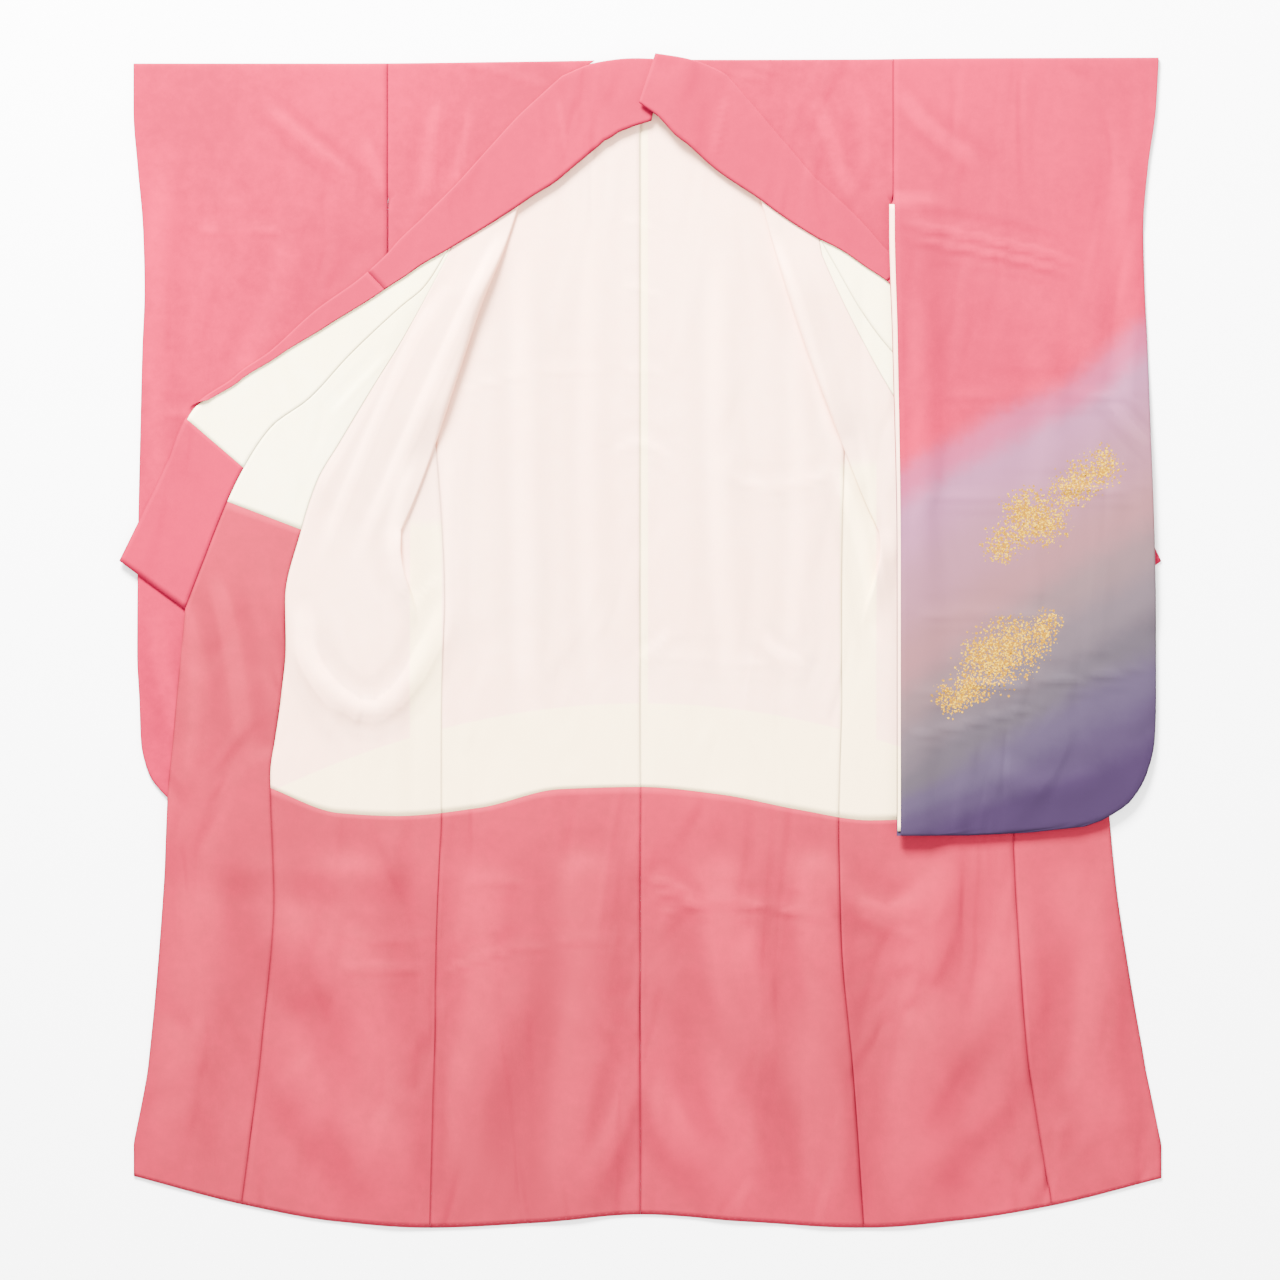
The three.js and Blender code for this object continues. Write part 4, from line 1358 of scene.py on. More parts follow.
@dataclass
class Lie:
    """Everything that lifts the cloth off its plain form: the skirt's ridges and the creases.

    Args:
        ridges: broad ridges of the skirt.
        creases: smaller ridges and troughs that every cloth of a stack shares.
        reach: how far off the cloth round a place is read.
        most: largest height or depth that is told apart.
    """

    ridges: Sequence[Ridge]
    creases: Sequence[Crease]
    reach: float = 26.0
    most: float = 2.0

    def height(self, x: Array, y: Array) -> Array:
        """Lift of the cloth, never below the plain form.

        Args:
            x: places along X.
            y: places along Y.

        Returns:
            The lift at each place.
        """
        skirt = smooth((SKIRT_TOP - y) / SKIRT_RAMP)
        total = np.zeros(np.shape(x))
        for ridge in self.ridges:
            total += skirt * ridge.at(x, y)
        for crease in self.creases:
            total += crease.at(x, y)
        return np.maximum(total, 0.0)

    def standing(self, x: Array, y: Array) -> Array:
        """How far each place stands above the mean of those round it.

        Args:
            x: places along X.
            y: places along Y.

        Returns:
            The height at each place, negative in a hollow.
        """
        reach = self.reach
        steps = ((reach, 0.0), (-reach, 0.0), (0.0, reach), (0.0, -reach))
        mean = sum(self.height(x + dx, y + dy) for dx, dy in steps) / len(steps)
        return np.clip(self.height(x, y) - mean, -self.most, self.most)

    def laid(self, grid: Grid) -> Grid:
        """A grid, lifted.

        Args:
            grid: the plain form.

        Returns:
            The same grid with its folds.
        """
        points = grid.points.copy()
        x, y = grid.points[..., 0], grid.points[..., 1]
        points[..., 2] += self.height(x, y)
        return Grid(points, grid.rows, self.standing(x, y))


def cells_of(rows: int, columns: int) -> tuple[Array, Array]:
    """Numbering of a grid.

    Args:
        rows: how many rows of points.
        columns: how many points in a row.

    Returns:
        The number of each point, and the four corners of each cell.
    """
    index = np.arange(rows * columns).reshape(rows, columns)
    return index, np.stack([index[:-1, :-1], index[1:, :-1], index[1:, 1:], index[:-1, 1:]], axis=-1)


def cloth_on(grid: Grid, side: Side, offset: float = 0.0, inset: float = SEAM_INSET) -> Cloth:
    """One cloth of a panel.

    Args:
        grid: points of the panel's middle line, already lifted.
        side: which side of the garment, which sets the cells' order.
        offset: distance of the cloth off the middle line.
        inset: how far it ends short of the grid's borders.

    Returns:
        The cloth's middle surface.
    """
    normals = grid.normals() * side.value
    points = grid.points + offset * normals
    whole = slice(None)
    for border, inner in (
        ((0, whole), (1, whole)),
        ((-1, whole), (-2, whole)),
        ((whole, 0), (whole, 1)),
        ((whole, -1), (whole, -2)),
    ):
        step = points[inner] - points[border]
        length = np.linalg.norm(step, axis=-1, keepdims=True)
        points[border] = points[border] + step * np.minimum(inset, length / 3) / np.maximum(length, 1e-9)
    quads = cells_of(*points.shape[:2])[1].reshape(-1, 4)
    if side is Side.RIGHT:
        quads = quads[:, ::-1]
    across, down = grid.span()
    edge = np.minimum(across, across[:, -1:] - across)
    uv = np.stack([across, down], axis=-1).reshape(-1, 2) * MM
    fold = np.zeros(across.shape) if grid.fold is None else grid.fold
    return Cloth(points.reshape(-1, 3), normals.reshape(-1, 3), quads, uv, edge.ravel(), fold.ravel())


@dataclass(frozen=True)
class SleeveBag:
    """One sleeve: two cloths joined round the outer edge and the bottom, open at the body side and the wrist.

    Args:
        side: which side of the garment.
        cells: cells across one cloth.
        height: distance between the outsides of the two cloths.
        rim: distance over which they come together at a sewn edge.
        wrist_end: height at which the wrist's opening ends.
        wrist_ramp: height over which the sewn edge closes below it.
        room: gap that is left to the height on each face.
    """

    side: Side
    cells: int = 46
    height: float = STACK
    rim: float = SHOULDER_RIM
    wrist_end: float = 555.0
    wrist_ramp: float = 12.0
    room: float = 0.05

    def _inner(self, y: Array, upper: bool) -> Array:
        """Reach of a cloth's edge on the body side.

        Args:
            y: heights along it.
            upper: whether it is the upper cloth.

        Returns:
            The reach at each height.
        """
        plain = np.full(np.shape(y), ARMHOLE_REACH)
        if self.side is Side.RIGHT:
            return plain
        free = (FURI_TOP_REACH if upper else FURI_REACH).at(y)
        return plain + (free - plain) * smooth((FREE_EDGE_TOP - y) / FREE_EDGE_RAMP)

    def _outline(self) -> list[tuple[float, float]]:
        """Outline of the sewn edges, closed well beyond the open ones.

        Returns:
            Its corners as reach and height.
        """
        heights = np.linspace(SHOULDER_Y, SLEEVE_FOOT, 120)
        reaches = [(float(SLEEVE_EDGE[self.side].at(y)), float(y)) for y in heights]
        inside, above = 250.0, 900.0
        return [(inside, above), (reaches[0][0], above), *reaches, (inside, SLEEVE_FOOT)]

    def _cloth(self, rows: Array, upper: bool, lie: Lie) -> Array:
        """Points of one of the two cloths.

        Args:
            rows: rows from the shoulder to the foot.
            upper: whether it is the upper cloth.
            lie: lift of the upper cloth.

        Returns:
            The points by row and column.
        """
        outline = self._outline()
        places = []
        for v in rows:
            inner = float(self._inner(np.array(v), upper))
            outer = float(SLEEVE_EDGE[self.side].at(v))
            spread = np.linspace(inner, outer - self.rim, self.cells + 1 - len(SEWN_REACHES))
            reach = np.concatenate([spread, outer - np.array(SEWN_REACHES)])
            places.append(np.column_stack([reach, np.full(len(reach), v)]))
        flat = np.array(places)
        depth = np.clip(inside_by(outline, flat[..., 0], flat[..., 1]) / self.rim, 0, 1)
        closed = np.sqrt(np.clip(1 - (1 - depth) ** 2, 0, 1))
        share = closed + (1 - closed) * smooth((flat[..., 1] - self.wrist_end) / self.wrist_ramp)
        share = share * closed_at_shoulder(rows)[:, None]
        x, y = self.side.value * flat[..., 0], flat[..., 1]
        risen = np.where(y > TOP_BAND, SHOULDER.at(x) - SHOULDER_Y, 0)
        y = y + risen * smooth((y - TOP_BAND) / (SHOULDER_Y - TOP_BAND))
        low = sleeve_floor(self.side, x, y)
        half = 0.5 * self.height - SHELL / 2 - self.room
        middle = low + 0.5 * self.height
        gap = SEWN_GAP + (half - SEWN_GAP) * share
        z = middle + gap if upper else middle - gap
        if upper:
            z = z + lie.height(x, y) * share
        return np.stack([x, y, z], axis=-1)

    def cloth(self, lie: Lie) -> Cloth:
        """The whole bag's middle surface.

        Args:
            lie: lift of the upper cloth.

        Returns:
            Both cloths and the sewn edges between them.
        """
        plain = rows_between(SHOULDER_Y, SLEEVE_FOOT + 4, ROW_STEP, (*RIM_ROWS, self.wrist_end))
        rows = np.concatenate([plain, SEWN_ROWS])
        lower = self._cloth(rows, False, lie)
        upper = self._cloth(rows, True, lie)[:, ::-1]
        points = np.concatenate([lower, upper], axis=1)
        index, quads = cells_of(*points.shape[:2])
        sewn = np.ones(quads.shape[:2], dtype=bool)
        sewn[rows[:-1] > self.wrist_end, lower.shape[1] - 1] = False
        k = np.arange(self.cells)
        first, last = index[0], index[-1]
        top = np.column_stack([first[k + 1], first[-2 - k], first[-1 - k], first[k]])
        bottom = np.column_stack([last[k], last[-1 - k], last[-2 - k], last[k + 1]])
        made = np.vstack([quads[sewn], top, bottom])
        made = made[:, ::-1] if self.side is Side.LEFT else made
        flat = points.reshape(-1, 3)
        normals = vertex_normals(flat, made)
        across = np.abs(flat[:, 0])
        inner = self._inner(flat[:, 1], False)
        outer = SLEEVE_EDGE[self.side].at(flat[:, 1])
        uv = np.column_stack([across, SHOULDER_Y - flat[:, 1]]) * MM
        fold = lie.standing(flat[:, 0], flat[:, 1])
        return Cloth(flat, normals, made, uv, np.minimum(across - inner, outer - across), fold)


def vertex_normals(points: Array, quads: Array) -> Array:
    """Unit normals of a mesh's points, from the cells round each.

    Args:
        points: places of the points.
        quads: corners of the cells.

    Returns:
        The normal of each point.
    """
    diagonal = points[quads[:, 2]] - points[quads[:, 0]]
    other = points[quads[:, 3]] - points[quads[:, 1]]
    face = np.cross(diagonal, other)
    total = np.zeros_like(points)
    for k in range(4):
        np.add.at(total, quads[:, k], face)
    return total / np.maximum(np.linalg.norm(total, axis=1, keepdims=True), 1e-12)


# Finishes


Colour = tuple[float, float, float]
Socket = bpy.types.NodeSocket


def opaque(colour: Colour) -> tuple[float, float, float, float]:
    """A linear colour as a node socket takes it.

    Args:
        colour: red, green and blue.

    Returns:
        The colour with full cover.
    """
    return (*colour, 1.0)


@dataclass
class Graph:
    """A node tree that is being drawn.

    Args:
        tree: the tree.
        column: where the next node goes, which only matters to a person who opens the file.
    """

    tree: bpy.types.NodeTree
    column: int = 0

    def node(self, kind: str, fed: Mapping | None = None, **settings: object) -> bpy.types.Node:
        """A new node.

        Args:
            kind: its type.
            fed: what goes into its inputs, by number or by name.
            settings: its properties, set first.

        Returns:
            The node.
        """
        made = self.tree.nodes.new(kind)
        made.location = (180 * self.column, -40 * (self.column % 5))
        self.column += 1
        for name, value in settings.items():
            setattr(made, name, value)
        for key, source in (fed or {}).items():
            self.feed(made.inputs[key], source)
        return made

    def feed(self, target: Socket, source: object) -> None:
        """Links a socket to a target, or sets the target's own value.

        Args:
            target: an input.
            source: an output or a value.
        """
        if isinstance(source, Socket):
            self.tree.links.new(source, target)
        else:
            target.default_value = source

    def math(self, operation: str, *values: object, clamp: bool = False) -> Socket:
        """A sum, product or the like.

        Args:
            operation: name of the operation.
            values: what it works on.
            clamp: keeps the result between 0 and 1.

        Returns:
            The result.
        """
        fed = dict(enumerate(values))
        return self.node("ShaderNodeMath", fed, operation=operation, use_clamp=clamp).outputs[0]

    def span(self, value: object, low: float, high: float, start: float, end: float) -> Socket:
        """A value mapped smoothly from one span to another.

        Args:
            value: the value.
            low: start of its span.
            high: end of its span.
            start: result at the low end.
            end: result at the high end.

        Returns:
            The result.
        """
        fed = dict(enumerate((value, low, high, start, end)))
        return self.node("ShaderNodeMapRange", fed, interpolation_type="SMOOTHSTEP").outputs[0]

    def mixed(self, factor: object, first: object, second: object, blend: str = "MIX") -> Socket:
        """Two colours mixed.

        Args:
            factor: share of the second.
            first: colour at 0.
            second: colour at 1.
            blend: how they are mixed.

        Returns:
            The mixed colour.
        """
        fed = {0: factor, 6: first, 7: second}
        return self.node("ShaderNodeMix", fed, data_type="RGBA", blend_type=blend).outputs[2]

    def noise(self, vector: object, scale: float, detail: float = 2.0, rough: float = 0.5) -> Socket:
        """Value of a noise texture.

        Args:
            vector: where it is read.
            scale: how fine it is.
            detail: layers of finer noise.
            rough: how strong the finer layers are.

        Returns:
            The value.
        """
        fed = {"Vector": vector, "Scale": scale, "Detail": detail, "Roughness": rough}
        return self.node("ShaderNodeTexNoise", fed).outputs[0]

    def centred(self, vector: object, scale: float, detail: float, rough: float, reach: float) -> Socket:
        """Noise about zero.

        Args:
            vector: where it is read.
            scale: how fine it is.
            detail: layers of finer noise.
            rough: how strong the finer layers are.
            reach: what it is multiplied by.

        Returns:
            The value.
        """
        middle = self.math("SUBTRACT", self.noise(vector, scale, detail, rough), 0.5)
        return self.math("MULTIPLY", middle, reach)

    def split(self, vector: Socket) -> Sequence[Socket]:
        """Parts of a vector.

        Args:
            vector: the vector.

        Returns:
            Its X, Y and Z.
        """
        return self.node("ShaderNodeSeparateXYZ", {0: vector}).outputs


Names = Sequence[tuple[str, str]]
VALUE, COLOUR, VECTOR = "NodeSocketFloat", "NodeSocketColor", "NodeSocketVector"


def group_of(name: str, inputs: Names, outputs: Names) -> tuple[Graph, dict, dict]:
    """A new shader node group.

    Args:
        name: its name.
        inputs: name and kind of each input.
        outputs: name and kind of each output.

    Returns:
        The graph, its inputs' sockets by name, and its outputs' sockets by name.
    """
    tree = bpy.data.node_groups.new(name, "ShaderNodeTree")
    for direction, sockets in (("INPUT", inputs), ("OUTPUT", outputs)):
        for label, kind in sockets:
            tree.interface.new_socket(label, in_out=direction, socket_type=kind)
    graph = Graph(tree)
    start = graph.node("NodeGroupInput").outputs
    end = graph.node("NodeGroupOutput").inputs
    return graph, {label: start[label] for label, _ in inputs}, {label: end[label] for label, _ in outputs}


def blank_material(name: str) -> tuple[bpy.types.Material, Graph]:
    """A new material with an empty tree.

    Args:
        name: its name.

    Returns:
        The material and its graph.
    """
    made = bpy.data.materials.new(name)
    made.use_nodes = True
    made.node_tree.nodes.clear()
    return made, Graph(made.node_tree)


@dataclass(frozen=True)
class ClothGroups:
    """Shader node groups that every silk shares.

    Args:
        weave: bumps of twisted threads, from a place on the cloth, with painted shade and light that follow
            their height.
        drift: slow change of colour over the cloth.
        crumple: soft small wrinkles.
        seam: painted shade and a dip beside a sewn edge.
    """

    weave: bpy.types.NodeTree
    drift: bpy.types.NodeTree
    crumple: bpy.types.NodeTree
    seam: bpy.types.NodeTree

    @classmethod
    def build(cls) -> "ClothGroups":
        """Draws the four groups.

        Returns:
            The groups.
        """
        return cls(cls._weave(), cls._drift(), cls._crumple(), cls._seam())

    @staticmethod
    def _weave() -> bpy.types.NodeTree:
        """Warp and weft that wobble, mixed with a pebbled grain, with painted shade and light that follow the
        height.

        Returns:
            The group.
        """
        graph, given, out = group_of(
            "silk weave",
            (("Place", VECTOR), ("Threads", VALUE), ("Crepe", VALUE)),
            (("Height", VALUE), ("Shade", VALUE)),
        )
        fed = {0: given["Place"], "Scale": given["Threads"]}
        scaled = graph.node("ShaderNodeVectorMath", fed, operation="SCALE").outputs[0]
        parts = graph.split(scaled)
        wobble = graph.noise(scaled, 0.35, 1.0)
        warp = graph.math("SINE", graph.math("ADD", parts[0], graph.math("MULTIPLY", wobble, 5.0)))
        weft = graph.math("SINE", graph.math("ADD", parts[1], graph.math("MULTIPLY", wobble, 9.0)))
        grid = graph.math("MULTIPLY", graph.math("MULTIPLY", warp, weft), 0.35)
        pebble = graph.noise(scaled, 0.55, 2.0, 0.6)
        fed = {0: given["Crepe"], 2: graph.math("ADD", grid, 0.5), 3: pebble}
        height = graph.node("ShaderNodeMix", fed, data_type="FLOAT").outputs[0]
        graph.feed(out["Height"], height)
        graph.feed(out["Shade"], graph.span(height, 0.2, 0.8, 0.94, 1.04))
        return graph.tree

    @staticmethod
    def _drift() -> bpy.types.NodeTree:
        """A colour that drifts towards a lighter one.

        Returns:
            The group.
        """
        graph, given, out = group_of(
            "colour drift",
            (("Place", VECTOR), ("Colour", COLOUR), ("Lighter", COLOUR), ("Amount", VALUE)),
            (("Colour", COLOUR),),
        )
        broad = graph.math("MULTIPLY", graph.noise(given["Place"], 3.0, 2.0, 0.45), 0.62)
        small = graph.math("MULTIPLY", graph.noise(given["Place"], 60.0, 4.0, 0.7), 0.38)
        mask = graph.span(graph.math("ADD", broad, small), 0.35, 0.65, 0.0, 1.0)
        factor = graph.math("MULTIPLY", mask, given["Amount"])
        graph.feed(out["Colour"], graph.mixed(factor, given["Colour"], given["Lighter"]))
        return graph.tree

    @staticmethod
    def _crumple() -> bpy.types.NodeTree:
        """Wrinkles as the creases of a stretched noise.

        Returns:
            The group.
        """
        graph, given, out = group_of(
            "small wrinkles",
            (("Place", VECTOR), ("Along", VALUE), ("Size", VALUE)),
            (("Height", VALUE),),
        )
        ratio = graph.node("ShaderNodeCombineXYZ", {0: 1.0, 1: given["Along"], 2: 1.0}).outputs[0]
        fed = {0: given["Place"], 1: ratio}
        stretched = graph.node("ShaderNodeVectorMath", fed, operation="MULTIPLY").outputs[0]
        fed = {"Vector": stretched, "Scale": given["Size"], "Detail": 2.0, "Distortion": 0.6}
        made = graph.node("ShaderNodeTexNoise", fed).outputs[0]
        fold = graph.math("ABSOLUTE", graph.math("SUBTRACT", made, 0.5))
        graph.feed(out["Height"], graph.span(fold, 0.0, 0.16, 0.0, 1.0))
        return graph.tree

    @staticmethod
    def _seam() -> bpy.types.NodeTree:
        """A line that dips beside an edge and darkens the colour there with painted shade.

        Returns:
            The group.
        """
        graph, given, out = group_of(
            "seam line",
            (("Edge", VALUE), ("Width", VALUE)),
            (("Dip", VALUE), ("Shade", VALUE)),
        )
        near = graph.math("DIVIDE", given["Edge"], given["Width"])
        graph.feed(out["Dip"], graph.span(near, 0.0, 1.0, 0.0, 1.0))
        graph.feed(out["Shade"], graph.span(near, 0.0, 0.9, 0.86, 1.0))
        return graph.tree


@dataclass(frozen=True)
class Silk:
    """A dyed silk.

    Args:
        slot: material slot of the record.
        colour: main colour, linear.
        lighter: colour that it drifts towards.
        drift: how far it drifts.
        threads: threads in a metre, which sets the size of the weave.
        crepe: 0 for a smooth weave, 1 for a pebbled one.
        weave_depth: depth of the weave, in metres.
        wrinkle_depth: depth of the small wrinkles, in metres.
        wrinkle_size: how many wrinkles in a metre, roughly.
        wrinkle_along: how drawn out the wrinkles are, 1 for not at all.
        seam_width: width of the line beside a seam, in millimetres.
        seam_depth: depth of that line, in metres.
        roughness: of the fibres.
        gloss: mirror-like share of the reflected light.
        sheen: light that the nap catches.
        hollow: painted shade, how much darker the colour is made where the cloth lies in a hollow; on a crest
            it is made lighter by 0.6 of this, as painted light.
        deep: depth in millimetres at which the painted shade is darkest, and height at which the painted
            light is brightest.
    """

    slot: str
    colour: Colour
    lighter: Colour
    drift: float = 0.5
    threads: float = 5200.0
    crepe: float = 0.8
    weave_depth: float = 0.00012
    wrinkle_depth: float = 0.0016
    wrinkle_size: float = 9.0
    wrinkle_along: float = 0.35
    seam_width: float = 1.8
    seam_depth: float = 0.00025
    roughness: float = 0.62
    gloss: float = 0.06
    sheen: float = 0.12
    hollow: float = 0.16
    deep: float = 1.2

    def base(self, graph: Graph, place: Socket, groups: ClothGroups) -> Socket:
        """Colour before weave and seams are laid over it.

        Args:
            graph: the material's graph.
            place: where a point lies.
            groups: shader groups that the silks share.

        Returns:
            The colour.
        """
        fed = {
            "Place": place, "Colour": opaque(self.colour),
            "Lighter": opaque(self.lighter), "Amount": self.drift,
        }
        return graph.node("ShaderNodeGroup", fed, node_tree=groups.drift).outputs["Colour"]

    def material(self, groups: ClothGroups) -> bpy.types.Material:
        """The finish as a material.

        Args:
            groups: shader groups that the silks share.

        Returns:
            A new material.
        """
        made, graph = blank_material(self.slot)
        place = graph.node("ShaderNodeTexCoord").outputs["Object"]
        cloth = graph.node("ShaderNodeUVMap", uv_map="cloth").outputs[0]
        edge = graph.node("ShaderNodeAttribute", attribute_name="edge").outputs["Fac"]
        fold = graph.node("ShaderNodeAttribute", attribute_name="fold").outputs["Fac"]
        fed = {"Place": cloth, "Threads": self.threads, "Crepe": self.crepe}
        weave = graph.node("ShaderNodeGroup", fed, node_tree=groups.weave).outputs
        fed = {"Place": place, "Along": self.wrinkle_along, "Size": self.wrinkle_size}
        wrinkles = graph.node("ShaderNodeGroup", fed, node_tree=groups.crumple).outputs
        fed = {"Edge": edge, "Width": self.seam_width}
        seam = graph.node("ShaderNodeGroup", fed, node_tree=groups.seam).outputs
        # Painted shade and light: the colour is darkened in the weave's low places, beside seams and in the
        # cloth's hollows, and lightened on the weave's high places and the cloth's crests.
        hollow = graph.span(fold, -self.deep, self.deep, 1 - self.hollow, 1 + 0.6 * self.hollow)
        shade = graph.math("MULTIPLY", graph.math("MULTIPLY", weave["Shade"], seam["Shade"]), hollow)
        grey = graph.node("ShaderNodeCombineColor", {0: shade, 1: shade, 2: shade}).outputs[0]
        heights = (
            (weave["Height"], self.weave_depth),
            (wrinkles["Height"], self.wrinkle_depth),
            (seam["Dip"], self.seam_depth),
        )
        fed = {}
        for height, depth in heights:
            fed = {"Strength": 1.0, "Distance": depth, "Height": height, **fed}
            fed = {"Normal": graph.node("ShaderNodeBump", fed).outputs[0]}
        least, most = self.roughness - 0.06, self.roughness + 0.06
        fed |= {
            "Base Color": graph.mixed(1.0, self.base(graph, place, groups), grey, "MULTIPLY"),
            "Roughness": graph.span(weave["Height"], 0.2, 0.8, least, most),
            "Specular IOR Level": self.gloss,
            "Sheen Tint": opaque(self.lighter),
            "Sheen Weight": self.sheen,
            "Sheen Roughness": 0.45,
        }
        shader = graph.node("ShaderNodeBsdfPrincipled", fed)
        graph.node("ShaderNodeOutputMaterial", {"Surface": shader.outputs[0]})
        return made


@dataclass(frozen=True)
class ShadedSilk(Silk):
    """Crepe dyed in bands that run across the sleeve and rise towards its outer edge.

    Args:
        stops: height of each colour at the sleeve's inner edge in metres, with the colour.
        inner: reach of that edge.
        rise: how much a band rises for each metre outwards.
        foot: how much the dye deepens at the foot of the sleeve, in metres of its bands.
        foot_span: heights between which it deepens.
        fade: height over which the last colour turns into the plain one.
    """

    stops: tuple[tuple[float, Colour], ...] = ()
    inner: float = 0.343
    rise: float = 0.6
    foot: float = 0.055
    foot_span: tuple[float, float] = (-0.26, -0.17)
    fade: float = 0.05

    def base(self, graph: Graph, place: Socket, groups: ClothGroups) -> Socket:
        """Colour of the bands, with soft uneven borders.

        Args:
            graph: the material's graph.
            place: where a point lies.
            groups: shader groups that the silks share.

        Returns:
            The colour.
        """
        plain = super().base(graph, place, groups)
        x, y, _ = graph.split(place)
        outwards = graph.math("MULTIPLY", graph.math("SUBTRACT", x, self.inner), self.rise)
        level = graph.math("SUBTRACT", y, outwards)
        level = graph.math("SUBTRACT", level, graph.span(y, *self.foot_span, self.foot, 0.0))
        broad = graph.centred(place, 4.0, 2.0, 0.4, 0.07)
        fine = graph.centred(place, 70.0, 3.0, 0.6, 0.018)
        level = graph.math("ADD", level, graph.math("ADD", broad, fine))
        low, high = self.stops[0][0], self.stops[-1][0]
        above = graph.math("SUBTRACT", level, low)
        share = graph.math("DIVIDE", above, high - low, clamp=True)
        ramp = graph.node("ShaderNodeValToRGB", {0: share})
        band = ramp.color_ramp
        band.interpolation = "EASE"
        while len(band.elements) < len(self.stops):
            band.elements.new(0.5)
        for element, (height, colour) in zip(band.elements, self.stops):
            element.position = (height - low) / (high - low)
            element.color = opaque(colour)
        return graph.mixed(graph.span(level, high - self.fade, high, 0.0, 1.0), ramp.outputs[0], plain)


Strip = tuple[float, float, float, float]


@dataclass(frozen=True)
class LiningSilk(Silk):
    """White lining with creamier strips where turned-in cloth and the skirt lining's edge show through.

    Args:
        strip: colour of the strips.
        strength: how strongly they show.
        right: near and far reach, foot and head of the strip beside the right side seam, in metres.
        left: the same for the left side seam.
        centre: the same for the centre back seam.
        band_top: height of the band's upper edge at the centre.
        band_drop: how fast that edge falls outwards.
        soft: half the width of the strips' soft edges.
        head_fade: height over which a strip fades out at its head.
    """

    strip: Colour = (0.93, 0.73, 0.40)
    strength: float = 0.85
    right: Strip = (0.268, 0.311, -0.236, 0.17)
    left: Strip = (0.269, 0.318, -0.243, 0.25)
    centre: Strip = (-0.002, 0.010, -0.21, 0.70)
    band_top: float = -0.084
    band_drop: float = 0.48
    soft: float = 0.0015
    head_fade: float = 0.02

    def base(self, graph: Graph, place: Socket, groups: ClothGroups) -> Socket:
        """White silk with its creamier strips.

        Args:
            graph: the material's graph.
            place: where a point lies.
            groups: shader groups that the silks share.

        Returns:
            The colour.
        """
        plain = super().base(graph, place, groups)
        x, y, _ = graph.split(place)
        curve = graph.math("MULTIPLY", graph.math("MULTIPLY", x, x), self.band_drop)
        level, soft = graph.math("ADD", y, curve), 0.002
        total = graph.span(level, self.band_top - soft, self.band_top + soft, 1.0, 0.0)
        for sign, strip in ((1.0, self.centre), (-1.0, self.right), (1.0, self.left)):
            total = graph.math("MAXIMUM", total, self._mask(graph, graph.math("MULTIPLY", x, sign), y, strip))
        return graph.mixed(graph.math("MULTIPLY", total, self.strength), plain, opaque(self.strip))

    def _mask(self, graph: Graph, x: Socket, y: Socket, strip: Strip) -> Socket:
        """Mask of one upright strip with slightly soft edges.

        Args:
            graph: the material's graph.
            x: reach of a point.
            y: its height.
            strip: near and far reach, foot and head.

        Returns:
            1 on the strip and 0 off it.
        """
        near, far, foot, head = strip
        soft = self.soft
        inner = graph.span(x, near - soft, near + soft, 0.0, 1.0)
        outer = graph.span(x, far - soft, far + soft, 1.0, 0.0)
        low = graph.span(y, foot - soft, foot + soft, 0.0, 1.0)
        high = graph.span(y, head - self.head_fade, head, 1.0, 0.0)
        return graph.math("MULTIPLY", graph.math("MULTIPLY", inner, outer), graph.math("MULTIPLY", low, high))


@dataclass(frozen=True)
class Leaf:
    """Gold leaf.

    Args:
        colour: main colour, linear.
        paler: colour of worn flakes.
        gloss: mirror-like share of the reflected light.
        dents: depth of its small dents, in metres.
    """

    colour: Colour = (0.195, 0.085, 0.0005)
    paler: Colour = (0.400, 0.235, 0.0050)
    gloss: float = 0.05
    dents: float = 0.0002

    def material(self) -> bpy.types.Material:
        """The finish as a material.

        Returns:
            A new material.
        """
        made, graph = blank_material("gold_leaf")
        place = graph.node("ShaderNodeTexCoord").outputs["Object"]
        spots = graph.noise(place, 420.0, 2.0, 0.6)
        worn = graph.span(spots, 0.48, 0.62, 0.0, 1.0)
        fed = {"Distance": self.dents, "Height": graph.noise(place, 900.0, 2.0, 0.5)}
        shader = graph.node("ShaderNodeBsdfPrincipled", {
            "Base Color": graph.mixed(worn, opaque(self.colour), opaque(self.paler)),
            "Roughness": graph.span(spots, 0.3, 0.7, 0.38, 0.55),
            "Specular IOR Level": self.gloss,
            "Normal": graph.node("ShaderNodeBump", fed).outputs[0],
        })
        graph.node("ShaderNodeOutputMaterial", {"Surface": shader.outputs[0]})
        return made


@dataclass(frozen=True)
class Plain:
    """A plain matt finish for thread and floor.

    Args:
        name: name of the material.
        colour: linear colour.
        roughness: of the surface.
        gloss: mirror-like share of the reflected light.
    """

    name: str
    colour: Colour
    roughness: float = 0.8
    gloss: float = 0.2

    def material(self) -> bpy.types.Material:
        """The finish as a material.

        Returns:
            A new material.
        """
        made, graph = blank_material(self.name)
        fed = {
            "Base Color": opaque(self.colour), "Roughness": self.roughness, "Specular IOR Level": self.gloss,
        }
        shader = graph.node("ShaderNodeBsdfPrincipled", fed)
        graph.node("ShaderNodeOutputMaterial", {"Surface": shader.outputs[0]})
        return made


